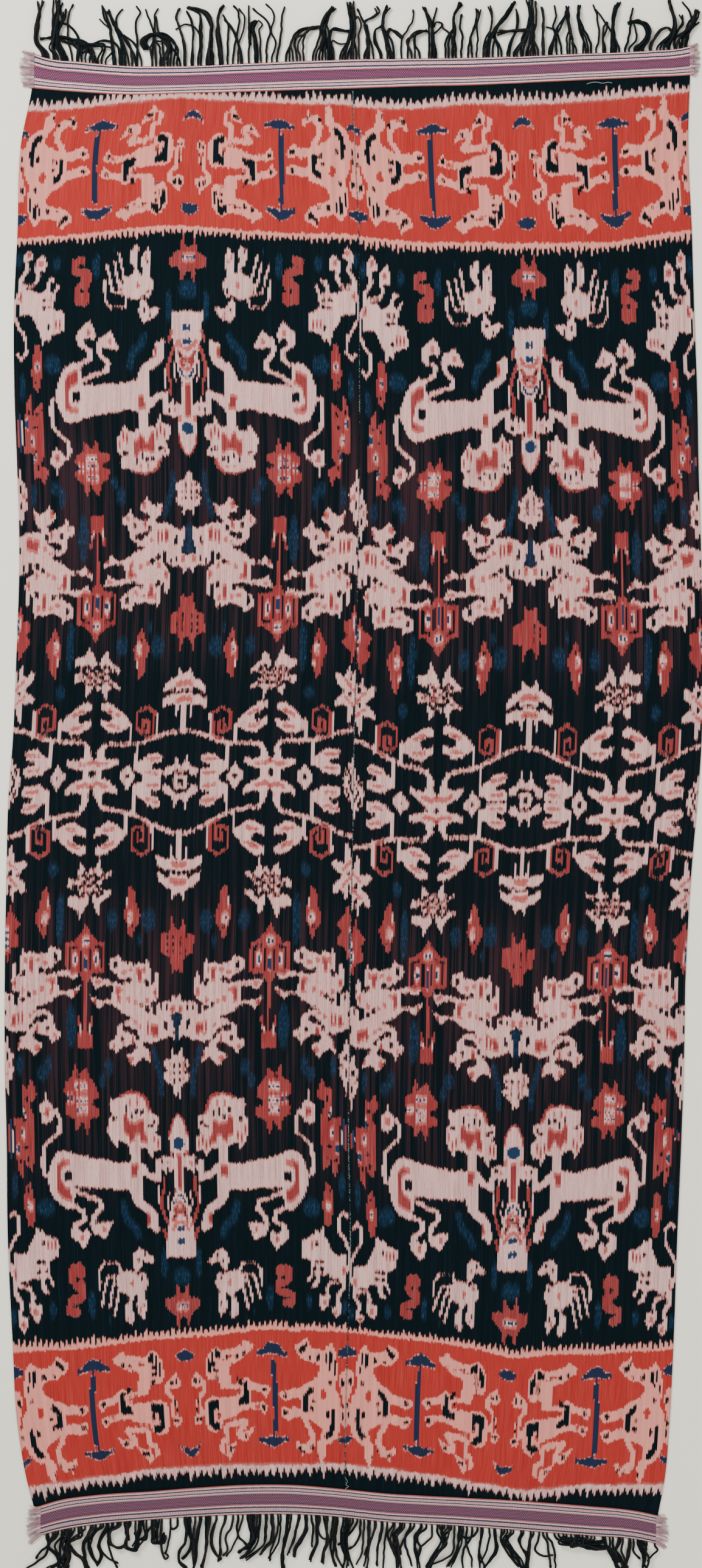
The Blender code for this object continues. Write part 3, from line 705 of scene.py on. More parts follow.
def drawCentreLine(c):
    c.mirrorAt = 143
    c.fill(pale, (143, 1140), (127, 1140), (127, 1131), (120, 1128), (111, 1124), (100, 1116), (100, 1105),
           (110, 1108), (120, 1109), (126, 1104), (127, 1085), (132, 1096), (143, 1113))
    c.line(red, 8, (121, 1118), (134, 1120), (143, 1116))
    c.spots(ground, (143, 1136, 5, 4))
    c.fill(pale, (86, 1112), (91, 1122), (99, 1131), (99, 1140), (74, 1140), (74, 1131), (80, 1122))
    c.spots(ground, (86, 1137, 3.6, 4))
    c.mirrorSlip = -9
    c.fill(pale, (30, 1094), (40, 1089), (54, 1092), (60, 1100), (70, 1106), (76, 1112), (75, 1124),
           (66, 1128), (60, 1136), (32, 1136), (30, 1122), (35, 1116), (47, 1116), (46, 1109), (34, 1108))
    c.line(red, 7, (38, 1125), (55, 1125))
    c.line(red, 7, (36, 1099), (54, 1102))
    c.mirrorAt, c.mirrorSlip = None, 0
    c.fill(pale, (0, 1140), (9, 1140), (14, 1128), (25, 1130), (28, 1120), (24, 1112), (15, 1111),
           (11, 1104), (8, 1088), (5, 1103), (0, 1108))
    c.line(ground, 5, (0, 1120), (11, 1122), (15, 1134))
    c.spots(ground, (0, 1138, 5, 6))
    c.fill(pale, (277, 1090), (274, 1096), (272, 1108), (268, 1102), (266, 1116), (261, 1112), (263, 1124),
           (258, 1131), (264, 1140), (277, 1140))
    c.line(ground, 3, (266, 1124), (271, 1111))
    c.line(ground, 3, (269, 1136), (275, 1120))


def drawFaintBlues(c):
    for u, v, halfU, halfV in ((4, 316, 10, 12), (29, 340, 5, 22), (147, 278, 6, 20), (210, 272, 6, 10),
                               (272, 262, 5, 12), (215, 432, 14, 13), (47, 903, 11, 17), (105, 903, 9, 15),
                               (189, 905, 6, 42), (202, 986, 8, 10), (216, 652, 8, 10), (206, 666, 6, 14),
                               (252, 664, 5, 16), (120, 640, 6, 10), (110, 662, 8, 12), (2, 742, 8, 36),
                               (264, 468, 5, 20), (171, 730, 8, 36), (60, 870, 4, 8)):
        c.spots(navy, (u, v, halfU, halfV))
    c.line(navy, 11, (68, 388), (74, 402), (86, 412), (90, 424), (92, 436))
    c.line(navy, 9, (38, 690), (27, 650), (25, 620))
    c.line(navy, 7, (192, 446), (200, 454))


def paintedChart():
    chart = DyeChart()
    chart.cells[:chartSize["band"]] = red
    for draw in (
        drawFaintBlues, drawPoleAndCrescents, drawRearingHorse, drawLeapingHorse, drawEyedStar, drawRooster,
        drawSnake, drawSkullTree, drawLion, drawEdgeRooster, drawCat, drawGridFlower, drawWhiteStars,
        drawDragonAndPole, drawRedStarsAndOvals, drawSixPointStars, drawVineAndBirds, drawCentreLine,
    ):
        draw(chart)
    return chart.cells


chart = paintedChart()
print("dye chart painted", chart.shape)

# How the chart lies on each panel: where its rows fall down the cloth, and how the borders wave.
chartRows = np.array([0, 210, 264, 348, 560, 644, 863, 1136])
panelSettings = {
    "bundles": 184, "rows": 410, "fineRows": 5,
    "thick": 1.2, "gap": 0.15, "endLift": 1.0,
    "farPitch": 11.4, "nearPitch": 8.8, "tooth": 17, "lineWidth": 6.0,
    "bakeStrips": ((0.0, 0.64), (0.66, 0.32), (0.985, 0.014)),  # start and width for top, underside, walls
}
panelLooks = {
    "left": {
        "far": (163, 372, 418, 512, 731, 796, 1024, 1275),
        "near": (2415, 2195, 2151, 2067, 1855, 1771, 1552, 1275),
        "farOuter": ((60, 183), (150, 175), (300, 160), (421, 167), (560, 171), (592, 176)),
        "farInner": ((40, 395), (200, 380), (300, 372), (400, 383), (560, 387), (592, 390)),
        "nearInner": ((12, 2221), (150, 2210), (300, 2195), (440, 2180), (570, 2187)),
        "nearOuter": ((25, 2446), (150, 2428), (250, 2415), (400, 2405), (568, 2404)),
        "centre": ((15, 1288), (155, 1270), (298, 1284), (440, 1268), (578, 1286)),
        "axisShift": ((160, 6), (430, 1), (1275, -1), (1700, -1), (1900, 2), (2150, 5), (2300, 10)),
    },
    "right": {
        "far": (170, 404, 451, 541, 760, 824, 1043, 1305),
        "near": (2454, 2225, 2177, 2087, 1868, 1797, 1577, 1305),
        "farOuter": ((580, 176), (680, 178), (760, 172), (900, 170), (1000, 163), (1137, 150)),
        "farInner": ((580, 391), (700, 402), (850, 404), (1000, 400), (1137, 378)),
        "nearInner": ((565, 2186), (720, 2203), (840, 2227), (930, 2221), (1000, 2222), (1112, 2212)),
        "nearOuter": ((565, 2404), (650, 2415), (750, 2430), (853, 2448), (950, 2440), (1105, 2437)),
        "centre": ((580, 1300), (620, 1309), (660, 1320), (715, 1333), (780, 1321), (864, 1315),
                   (950, 1322), (1005, 1333), (1060, 1330), (1100, 1323), (1150, 1318)),
        "axisShift": ((160, 2), (430, 4), (1275, 0), (2150, -2), (2300, -3)),
    },
}


# Value of a table of places and values, straight between its places.
def stretched(table, at):
    table = np.array(table, float)
    return np.interp(at, table[:, 0], table[:, 1])


# Chart place of each point: down is turned into rows by straight stretches between the waving borders,
# and across into the share of the way from the panel's axis to its edge.
def chartPlace(side, across, down, left, right):
    looks = panelLooks[side]
    axisAcross = (left + right) / 2 + stretched(looks["axisShift"], down)
    far, near = np.array(looks["far"], float), np.array(looks["near"], float)
    farInner, nearInner = stretched(looks["farInner"], across), stretched(looks["nearInner"], across)
    centre = stretched(looks["centre"], across)
    knots = [stretched(looks["farOuter"], across), farInner, far[2] + (farInner - far[1]) / 2]
    knots += [np.full(across.shape, value) for value in far[3:7]]
    knots += [centre]
    knots += [np.full(across.shape, value) for value in near[6:2:-1]]
    knots += [near[2] + (nearInner - near[1]) / 2, nearInner, stretched(looks["nearOuter"], across)]
    lengths = np.concatenate([chartRows, 2 * chartRows[-1] - chartRows[-2::-1]])
    along = np.minimum(down - knots[0], 0) + np.maximum(down - knots[-1], 0)
    for i in range(len(knots) - 1):
        share = np.clip((down - knots[i]) / (knots[i + 1] - knots[i]), 0, 1)
        along = along + share * (lengths[i + 1] - lengths[i])
    v = np.where(along > chartRows[-1], 2 * chartRows[-1] - along, along)
    toEdge = np.where(across < axisAcross, axisAcross - left, right - axisAcross)
    u = np.abs(across - axisAcross) / toEdge * chartSize["halfWidth"]
    return u, v, along > chartRows[-1]


# Down the warp only: how far a cell lies inside (+) or outside (-) the mask, from the last and next change.
def warpDistance(mask, step, limit=14.0):
    row = np.broadcast_to(np.arange(len(mask))[:, None], mask.shape)
    never = 10 * len(mask)

    def cellsTo(hit):
        before = np.maximum.accumulate(np.where(hit, row, -never), axis=0)
        after = np.minimum.accumulate(np.where(hit, row, never)[::-1], axis=0)[::-1]
        return np.minimum(row - before, after - row)

    signed = np.where(mask, cellsTo(~mask) - 0.5, 0.5 - cellsTo(mask))
    return np.clip(signed * step, -limit, limit)


softFolds = (  # across, down, half width, half length, height, lean in degrees
    (292, 215, 46, 130, 3.0, 4), (540, 255, 44, 170, 4.0, 2), (186, 2385, 42, 120, 3.0, -14),
    (541, 2330, 40, 150, 4.0, 0), (712, 2370, 44, 115, 3.2, 0), (865, 2365, 46, 120, 3.6, 5),
    (1000, 2350, 48, 130, 2.6, -6), (880, 250, 60, 120, 2.2, 8), (70, 1290, 60, 170, 2.6, 0),
    (1092, 1150, 56, 190, 3.0, 3),
)
sharpCreases = (  # from across, down to across, down, then height and half width
    (293, 140, 296, 212, 2.2, 5), (546, 152, 544, 330, 2.4, 6), (196, 2360, 184, 2458, 2.4, 5),
    (552, 2292, 558, 2436, 3.2, 6), (711, 2345, 714, 2446, 2.2, 5), (863, 2360, 870, 2462, 2.6, 5),
    (940, 2372, 944, 2468, 2.2, 5), (1001, 2360, 990, 2470, 1.8, 6), (878, 150, 872, 260, 1.4, 8),
    (556, 1220, 570, 1420, 1.6, 8), (430, 156, 436, 260, 1.2, 8), (1040, 140, 1030, 250, 1.2, 9),
)


# Height off the floor: soft mounds, thin ridges with a shallow trough beside them, and slight ripples.
def clothLift(across, down):
    height = np.zeros(np.broadcast(across, down).shape)
    for foldAcross, foldDown, halfWidth, halfLength, rise, lean in softFolds:
        turn = math.radians(lean)
        off, along = across - foldAcross, down - foldDown
        u = (off * math.cos(turn) + along * math.sin(turn)) / halfWidth
        v = (along * math.cos(turn) - off * math.sin(turn)) / halfLength
        height += rise * np.clip(1 - u * u - v * v, 0, None) ** 2
    for a0, d0, a1, d1, rise, halfWidth in sharpCreases:
        share = (down - d0) / (d1 - d0)
        off = across - (a0 + (a1 - a0) * share) - 2.5 * np.sin(share * 5)
        fade = ease(-0.25, 0.3, share) * (1 - ease(0.8, 1.15, share))
        height += rise * fade * (np.exp(-((off / halfWidth) ** 2)) - 0.3 * np.exp(-(((off - 11) / 9) ** 2)))
    ends = 1 - ease(90, 420, np.minimum(down - 130, 2480 - down))
    ripple = latticeNoise(across / 34, down / 260, 5) + 0.5 * latticeNoise(across / 15, down / 180, 6)
    height += (0.35 + 0.75 * ends) * (ripple + 0.9)
    height += 0.22 * latticeNoise(across / 90, down / 46, 7)
    return np.maximum(height, 0)


# The cloth's points over shares of its width and of its length: straight rows between the bands' edges.
# Where a side edge meets a band is found by a few rounds of putting one curve into the other.
def panelPlan(side, shares, lengths):
    edgeA, edgeB = (leftEdge, seamLine) if side == "left" else (seamLine, rightEdge)
    ends = []
    for end, guess in (("far", 140.0), ("near", 2465.0)):
        a, b = guess, guess
        for _ in range(6):
            a, b = float(clothSide[end](edgeA(a))), float(clothSide[end](edgeB(b)))
        across = edgeA(a) * (1 - shares) + edgeB(b) * shares
        ends.append(clothSide[end](across))
    gap = panelSettings["gap"]
    down = (ends[0] + gap) * (1 - lengths[:, None]) + (ends[1] - gap) * lengths[:, None]
    left = edgeA(down[:, :1]) + (gap if side == "right" else 0)
    right = edgeB(down[:, -1:]) - (gap if side == "left" else 0)
    return left * (1 - shares) + right * shares, down, left, right


# The dyes of one panel on its bundles: the chart is read at each place with a small slip of the ties.
def panelDyes(side):
    s = panelSettings
    shares = (np.arange(s["bundles"]) + 0.5) / s["bundles"]
    lengths = np.linspace(0, 1, s["rows"] * s["fineRows"] + 1)
    across, down, left, right = panelPlan(side, shares, lengths)
    u, v, nearHalf = chartPlace(side, across, down, left, right)
    seed = 20 if side == "left" else 40
    slip = 1.5 * latticeNoise(across / 3.1, down / 55, seed)
    readV = v + slip + 2.2 * latticeNoise(across / 60, down / 90, seed + 1)
    readU = u + 1.6 * latticeNoise(across / 70, down / 80, seed + 2)
    rows, columns = (np.clip(read, 0, size - 1) for read, size in zip((readV, readU), chart.shape))
    dye = chart[rows.astype(int), columns.astype(int)]
    pitch = np.where(v < chartSize["band"] / 2, s["farPitch"], s["nearPitch"])
    beat = across / pitch + 0.3 * latticeNoise(across / 40, down / 900, seed + 3)
    tip = 1 - np.abs(2 * (beat % 1) - 1)
    uneven = 0.72 + 0.5 * latticeNoise(np.floor(beat) * 1.7 + 0.3, nearHalf * 7.0 + 0.5, seed + 4)
    tooth = np.clip(tip * 1.15 - 0.1, 0, 1) * uneven
    border = s["lineWidth"] + s["tooth"] * tooth
    inner = readV - chartSize["band"]
    dye = np.where(readV < 0, np.where(-readV < border, pale, ground), dye)
    dye = np.where((inner > 0) & (inner < border), pale, dye)
    return dye, down, v


ikatColours = {
    "pale": swatch(212, 172, 166), "paleGrey": swatch(164, 132, 128), "palePink": swatch(192, 108, 100),
    "peach": swatch(214, 126, 110), "bandRed": swatch(158, 43, 38), "bandDeep": swatch(130, 28, 28),
    "bandLight": swatch(190, 84, 74), "red": swatch(130, 41, 42), "redDeep": swatch(100, 28, 33),
    "redLight": swatch(158, 84, 80), "black": swatch(1, 14, 18), "brown": swatch(44, 26, 30),
    "indigo": swatch(12, 28, 40), "navy": swatch(27, 36, 58), "teal": swatch(9, 36, 56),
    "steel": swatch(50, 66, 92), "blue": swatch(26, 46, 72),
}
slipSettings = {"peak": 1.3, "bundle": 8.5, "bundleLength": 30, "half": 9.5, "halfLength": 12}
streakSettings = {  # streaks to a bundle, length, shift of the noise, detail
    "wide": (0.35, 420, 0.0, 2.0), "thin": (2.3, 260, 4.0, 1.0), "fine": (5.5, 60, 9.0, 1.0),
    "short": (3.4, 9, 6.0, 2.0), "grain": (8.0, 2.4, 5.0, 1.0),
}


# How far the dyes' edges slip along the warp: by each tied bundle, by each half of it, and by a low peak
# at the half's middle.
def tiedSlip(f, bundle, along):
    s = slipSettings
    half = bundle * 2.0
    peak = 1.0 - f.maths("ABSOLUTE", f.maths("FRACT", half) - 0.5) * 4.0
    tied = f.noise(f.joined(f.maths("FLOOR", bundle) * 3.37 + 0.4, along / s["bundleLength"]))
    halves = f.noise(f.joined(f.maths("FLOOR", half) * 5.71 + 0.3, along / s["halfLength"], 3.0))
    return peak * s["peak"] + (tied - 0.5) * s["bundle"] + (halves - 0.5) * s["half"]


# Ikat cotton. A dye's edge is the charted distance along the warp, plus the slip of the ties there;
# streaks of fainter dye run down the cloth.
def ikatFinish():
    f = Finish("ikat cotton", 0.92, 0.08)
    bundle, along, _ = f.split(f.attribute("weave"))
    reserve, redEdge, blueEdge = f.split(f.attribute("dyes"))
    navyEdge, middle, inBand = f.split(f.attribute("tints"))
    uneven = tiedSlip(f, bundle, along)
    wide, thin, fine, short, grain = (
        f.noise(f.joined(bundle * often, along / length, shift), detail)
        for often, length, shift, detail in streakSettings.values()
    )
    c = ikatColours
    tone = f.rise(wide * 0.4 + thin * 0.6, 0.4, 0.6)
    streak = f.rise(fine * 0.6 + thin * 0.4, 0.44, 0.62)
    black = f.blend(f.rise(wide * 0.6 + thin * 0.4, 0.46, 0.6) * middle, c["black"], c["brown"])
    black = f.blend(f.rise(thin * 0.5 + fine * 0.5, 0.52, 0.66) * 0.6, black, c["indigo"])
    faint = f.rise(navyEdge + uneven * 0.7, -8.0, 6.0) * f.rise(fine * 0.5 + short * 0.5, 0.3, 0.58)
    blueTint = f.blend(f.rise(short, 0.5, 0.72) * 0.8, c["teal"], c["steel"])
    black = f.blend(faint * (1 - inBand) * 0.9, black, blueTint)
    paleDye = f.blend(streak, c["pale"], c["paleGrey"])
    paleDye = f.blend(f.rise(fine * 0.4 + short * 0.6, 0.48, 0.66) * 0.5, paleDye, c["palePink"])
    paleDye = f.blend((1 - f.rise(reserve + uneven * 0.6, 0.5, 4.0)) * 0.7, paleDye, c["palePink"])
    paleDye = f.blend(inBand * (1 - streak * 0.35) * 0.85, paleDye, c["peach"])
    paleDye = f.blend(middle * f.rise(short * 0.5 + thin * 0.5, 0.44, 0.62) * 0.4, paleDye, c["palePink"])
    redDye = f.blend(streak * 0.6, f.blend(tone * 0.7, c["red"], c["redDeep"]), c["redLight"])
    bandDye = f.blend(streak * 0.3, f.blend(tone * 0.45, c["bandRed"], c["bandDeep"]), c["bandLight"])
    accent = f.rise(reserve - redEdge, 1.5, 5.0) * (1 - f.rise(redEdge + uneven * 0.4, 3.0, 7.0))
    redDye = f.blend(accent * 0.55, redDye, c["palePink"])
    redDye = f.blend(inBand, redDye, bandDye)
    colour = f.blend(f.rise(reserve + uneven - middle * 0.9, -1.1, 2.2), black, paleDye)
    colour = f.blend(f.rise(redEdge + uneven * 0.7, -1.2, 1.2), colour, redDye)
    colour = f.blend(f.rise(blueEdge + uneven * 0.6, -1.0, 1.2), colour, c["blue"])
    colour = f.blend(f.rise(navyEdge + uneven * 0.7, -1.0, 1.4) * inBand, colour, c["navy"])
    ribs = f.ridges(bundle * (3 * math.pi))
    # Painted shade: the ribs term makes the grooves between the warp ribs up to a tenth darker; the noise
    # terms are the cloth's own uneven tone.
    shade = 0.88 + ribs * 0.1 + (fine - 0.5) * 0.3 + (grain - 0.5) * 0.35 + (wide - 0.5) * 0.5
    f.feed("Base Color", f.shaded(colour, shade))
    picks = f.maths("SINE", along * (2 * math.pi / 1.9) + f.maths("FLOOR", bundle * 3) * math.pi)
    f.relief(ribs + picks * 0.3 + fine * 0.8, 0.00035, 0.8)
    return f


# At each row and bundle of the top: the distances along the warp into the reserved, red and blue dyes,
# then the distance into the navy and the shares of the panel's plain middle and of its border band.
def panelMaps(side):
    dye, down, v = panelDyes(side)
    step = (down[-1] - down[0]).mean() / (len(dye) - 1)
    every = slice(0, None, panelSettings["fineRows"])
    reserved = (dye != ground) & ((dye != navy) | (v < chartSize["band"]))
    masks = (reserved, dye == red, dye == blue)
    dyes = np.stack([warpDistance(mask, step)[every] for mask in masks], -1)
    inBand = ease(0, 3, v) * (1 - ease(226, 236, v))
    middle = ease(400, 620, v) * (1 - 0.8 * ease(880, 980, v))
    tints = np.stack([warpDistance(dye == navy, step), middle, inBand], -1)[every]
    return dyes, tints


# Faces of a closed sheet: the top, the underside turned over, and walls round the edge. A wall's face has
# three points of the fine top and two of the underside, which is half as fine.
def sheetFaces(topIds, underIds):
    topQuads = gridQuads(*topIds.shape).reshape(-1, 4)
    underQuads = gridQuads(*underIds.shape, topIds.size).reshape(-1, 4)[:, ::-1]

    def wall(fine, coarse, outward):
        faces = np.stack([coarse[:-1], coarse[1:], fine[2::2], fine[1::2], fine[:-1:2]], -1)
        return faces if outward else faces[:, ::-1]

    walls = np.concatenate([
        wall(topIds[:, 0], underIds[:, 0], True), wall(topIds[:, -1], underIds[:, -1], False),
        wall(topIds[0], underIds[0], False), wall(topIds[-1], underIds[-1], True),
    ])
    return topQuads, underQuads, walls


# One loom width as a closed sheet, its top quads one bundle wide. A face's dyes are those of its lowest
# bundle.
def panelPiece(side, finish):
    s = panelSettings
    bundles, rows = s["bundles"], s["rows"]
    across, down, _, _ = panelPlan(side, np.linspace(0, 1, bundles + 1), np.linspace(0, 1, rows + 1))
    lift = clothLift(across, down)
    lift[[0, -1]] = np.minimum(lift[[0, -1]], s["endLift"])
    top = toFrame(across, down, lift + s["thick"])
    under = toFrame(across, down, lift)[::2, ::2]
    points = np.concatenate([top.reshape(-1, 3), under.reshape(-1, 3)])
    topIds = np.arange(top[..., 0].size).reshape(top.shape[:2])
    underIds = topIds.size + np.arange(under[..., 0].size).reshape(under.shape[:2])
    blocks = sheetFaces(topIds, underIds)

    gridRow, gridColumn = np.indices(topIds.shape)
    pointRow = np.concatenate([gridRow.ravel(), gridRow[::2, ::2].ravel()])
    pointColumn = np.concatenate([gridColumn.ravel(), gridColumn[::2, ::2].ravel()])
    rowsAt, columnsAt, bundleAt, bake = [], [], [], []
    for (start, width), block in zip(s["bakeStrips"], blocks):
        row, column = pointRow[block], pointColumn[block]
        lowest = np.clip(column.min(1, keepdims=True), 0, bundles - 1)
        rowsAt.append(row.ravel())
        columnsAt.append(column.ravel())
        bundleAt.append(np.broadcast_to(lowest, row.shape).ravel())
        bake.append(np.stack([start + width * column.ravel() / bundles, 1 - row.ravel() / rows], -1))
    row, column, bundle = map(np.concatenate, (rowsAt, columnsAt, bundleAt))
    dyes, tints = panelMaps(side)
    warp = down[:, bundles // 2] - down[0, bundles // 2]
    weave = np.stack([column.astype(float), warp[row], np.zeros(len(row))], -1)
    corners = {"weave": weave, "dyes": dyes[row, bundle], "tints": tints[row, bundle]}
    return addPiece(f"ikat_panel_{side}", points, blocks, finish, corners, np.concatenate(bake))


ikatCotton = ikatFinish()
panels = {side: panelPiece(side, ikatCotton) for side in ("left", "right")}
print("panels woven", [len(p.data.polygons) for p in panels.values()])


# Band of woven stripes across each end: a domed section carried along the cloth's edge.
bandSettings = {
    "sections": 440, "topPoints": 26, "underPoints": 6, "endGap": 0.3, "underGap": 0.05,
    "thick": 2.2, "edge": 0.9, "roundEdge": 2.6, "ridge": 0.22, "ridgePitch": 9.4,
    "width": 47.0, "ladderPitch": 2.6, "diamondPitch": 3.1, "diamondRows": 2.2,
    "dulling": {"far": 0.0, "near": 0.12},  # share of grey: the near band is duller
}
bandColours = {
    "salmon": swatch(160, 78, 72), "white": swatch(200, 168, 165), "ink": swatch(30, 42, 56),
    "ladder": swatch(168, 112, 118), "rung": swatch(200, 172, 178), "violet": swatch(60, 40, 64),
    "crimson": swatch(92, 42, 66), "dot": swatch(176, 122, 142), "rose": swatch(146, 72, 84),
    "tan": swatch(158, 106, 100), "backing": swatch(150, 96, 100), "greyish": swatch(108, 104, 106),
}
bandStripes = (  # where each begins, in millimetres from the fringe side
    (0.0, "salmon"), (1.4, "white"), (3.3, "ink"), (5.4, "ladder"), (10.6, "ink"), (12.8, "white"),
    (15.1, "rose"), (17.3, "violet"), (20.2, "crimson"), (29.8, "violet"), (32.3, "tan"), (33.9, "white"),
    (36.0, "ink"), (37.6, "ladder"), (41.2, "ink"), (42.8, "white"), (45.2, "salmon"),
)


# Striped cotton: each stripe is a stop of one ramp across the band; rungs and dots repeat along it.
def bandFinish(end):
    f = Finish(f"striped band cotton {end}", 0.9, 0.12)
    along, within, top = f.split(f.attribute("weave"))
    s, c, width = bandSettings, bandColours, bandSettings["width"]
    wobble = f.noise(f.joined(along / 3.0, within / 2.0))
    share = (within + (wobble - 0.5) * 0.7) / width
    stops = [(at / width, c[name]) for at, name in bandStripes]
    colour = f.stripes(share, stops)
    rung = f.maths("PINGPONG", along, s["ladderPitch"] / 2) / (s["ladderPitch"] / 2)
    inLadder = f.maths("COMPARE", within, 8.0, 2.5) + f.maths("COMPARE", within, 39.4, 1.7)
    patchy = f.noise(f.joined(along / 9.0, within / 30.0, 3.0))
    colour = f.blend(f.rise(rung + (patchy - 0.5) * 0.5, 0.45, 0.6) * inLadder, colour, c["rung"])
    row = (within - 18.4) / s["diamondRows"]
    shifted = along / s["diamondPitch"] + f.maths("FLOOR", row) * 0.5
    offAlong = f.maths("ABSOLUTE", f.maths("FRACT", shifted) - 0.5) * s["diamondPitch"]
    offRow = f.maths("ABSOLUTE", f.maths("FRACT", row) - 0.5) * s["diamondRows"]
    inCentre = f.maths("COMPARE", within, 25.0, 6.6)
    weaveDark = f.rise(offAlong + offRow, 1.0, 1.9) * f.maths("COMPARE", within, 25.0, 5.0)
    colour = f.blend(weaveDark * 0.45, colour, c["violet"])
    colour = f.blend((1 - f.rise(offAlong + offRow, 0.4, 1.05)) * inCentre * 0.8, colour, c["dot"])
    fine = f.noise(f.joined(along / 0.9, within / 1.4, 5.0))
    colour = f.blend(f.rise(top, 0.2, 0.8), c["backing"], colour)
    # The near band is painted greyer, and all of it darker, than the far band.
    colour = f.blend(s["dulling"][end], colour, c["greyish"])
    shade = (0.78 + fine * 0.44) * (1 - 1.6 * s["dulling"][end])
    f.feed("Base Color", f.shaded(colour, shade))
    rib = f.ridges(along * (math.pi / 1.25))
    cord = f.ridges(within * (math.pi / 1.6))
    f.relief(rib * 0.6 + cord * 0.8, 0.00045, 0.8)
    return f


# The section of a band, from its fringe side over the domed top to its cloth side and back beneath:
# shares of the width, and heights.
def bandSection():
    s = bandSettings
    share = (1 - np.cos(np.linspace(0, math.pi, s["topPoints"]))) / 2
    share = 0.25 * share + 0.75 * np.linspace(0, 1, s["topPoints"])
    edge = np.minimum(np.minimum(share, 1 - share) * s["width"] / s["roundEdge"], 1)
    dome = s["edge"] + (s["thick"] - s["edge"]) * np.sqrt(1 - (1 - edge) ** 2)
    ridge = s["ridge"] * np.cos(share * s["width"] * 2 * math.pi / s["ridgePitch"])
    low = np.linspace(1, 0, s["underPoints"])
    heights = np.concatenate([dome + ridge * (edge >= 1), np.full(len(low), s["underGap"])])
    return np.concatenate([share, low]), heights


# Rings of the section along the band's two crooked edges, with closed ends.
def bandPiece(end, finish):
    s = bandSettings
    table = bandTables[end]
    across = np.linspace(table[0, 0] + s["endGap"], table[-1, 0] - s["endGap"], s["sections"])
    sectionShare, sectionHeight = bandSection()
    first, second = fringeSide[end](across)[:, None], clothSide[end](across)[:, None]
    first = first + 0.25 * latticeNoise(across / 2.6, across * 0, 61)[:, None]
    down = first * (1 - sectionShare) + second * sectionShare
    inner = np.broadcast_to(across[:, None], down.shape)
    wave = 0.5 + 0.5 * latticeNoise(inner / 45, down / 24, 62 if end == "far" else 63)
    lift = 0.8 * wave + np.minimum(clothLift(inner, np.clip(down, 150, 2450)), 1.0) * 0.6
    height = sectionHeight + np.where(np.arange(len(sectionShare)) < s["topPoints"], lift, lift * 0.6)
    points = toFrame(inner, down, height)
    rings, ring = down.shape
    i = np.arange(rings - 1)[:, None] * ring
    j, k = np.arange(ring), (np.arange(ring) + 1) % ring
    quads = np.stack([i + j, i + k, i + ring + k, i + ring + j], -1).reshape(-1, 4)
    caps = np.stack([np.arange(ring)[::-1], (rings - 1) * ring + np.arange(ring)])
    if end == "near":
        quads, caps = quads[:, ::-1], caps[:, ::-1]
    within = sectionShare * s["width"]
    onTop = (np.arange(ring) < s["topPoints"]).astype(float)
    values = np.stack(np.broadcast_arrays(across[:, None], within, onTop), -1).reshape(-1, 3)
    ids = np.concatenate([quads.ravel(), caps.ravel()])
    around = (np.arange(ring) / ring)[ids % ring]
    seam = np.zeros(len(ids), bool)
    corner = quads % ring
    seam[:quads.size] = ((corner == 0) & (corner.max(1, keepdims=True) == ring - 1)).ravel()
    bake = np.stack([(ids // ring) / rings, np.where(seam, 1.0, around)], -1)
    bake[quads.size:, 0] = 1.0 - 0.002 * (ids[quads.size:] % 2)
    return addPiece(f"striped_band_{end}", points.reshape(-1, 3), [quads, caps], finish,
                    {"weave": values[ids]}, bake)


# Yarns as tubes: rings of points about each path, square to its run, with closed ends.
def yarnPiece(name, paths, radii, tints, sides, finish):
    steps = paths.shape[1]
    run = np.gradient(paths, axis=1)
    run /= np.linalg.norm(run, axis=-1, keepdims=True) + 1e-12
    side = np.cross(run, (0, 0, 1.0))
    side /= np.linalg.norm(side, axis=-1, keepdims=True) + 1e-12
    over = np.cross(side, run)
    turn = np.arange(sides) / sides * 2 * math.pi
    ring = side[:, :, None] * np.cos(turn)[:, None] + over[:, :, None] * np.sin(turn)[:, None]
    points = (paths[:, :, None] + ring * radii[:, :, None, None]).reshape(-1, 3)
    first = (np.arange(len(paths)) * steps * sides)[:, None, None]
    row = (np.arange(steps - 1) * sides)[:, None]
    j, k = np.arange(sides), (np.arange(sides) + 1) % sides
    quads = np.stack([first + row + j, first + row + k, first + row + sides + k, first + row + sides + j], -1)
    quads = quads.reshape(-1, 4)
    start = first[:, 0] + np.arange(sides)[::-1]
    finishEnd = first[:, 0] + (steps - 1) * sides + np.arange(sides)
    caps = np.concatenate([start, finishEnd])
    ids = np.concatenate([quads.ravel(), caps.ravel()])
    strand, step, corner = ids // (steps * sides), ids // sides % steps, ids % sides
    around = corner / sides
    last = (quads % sides == 0) & ((quads % sides).max(1, keepdims=True) == sides - 1)
    around[:quads.size][last.ravel()] = 1.0
    length = np.cumsum(np.linalg.norm(np.diff(paths, axis=1, prepend=paths[:, :1]), axis=-1), 1) / mm
    values = np.stack([around, length[strand, step], np.asarray(tints)[strand]], -1)
    columns = int(math.ceil(math.sqrt(len(paths) * 3)))
    rows = int(math.ceil(len(paths) / columns))
    bake = np.stack([(strand % columns + 0.05 + 0.9 * around) / columns,
                     (strand // columns + 0.05 + 0.9 * step / (steps - 1)) / rows], -1)
    return addPiece(name, points, [quads, caps], finish, {"weave": values}, bake)


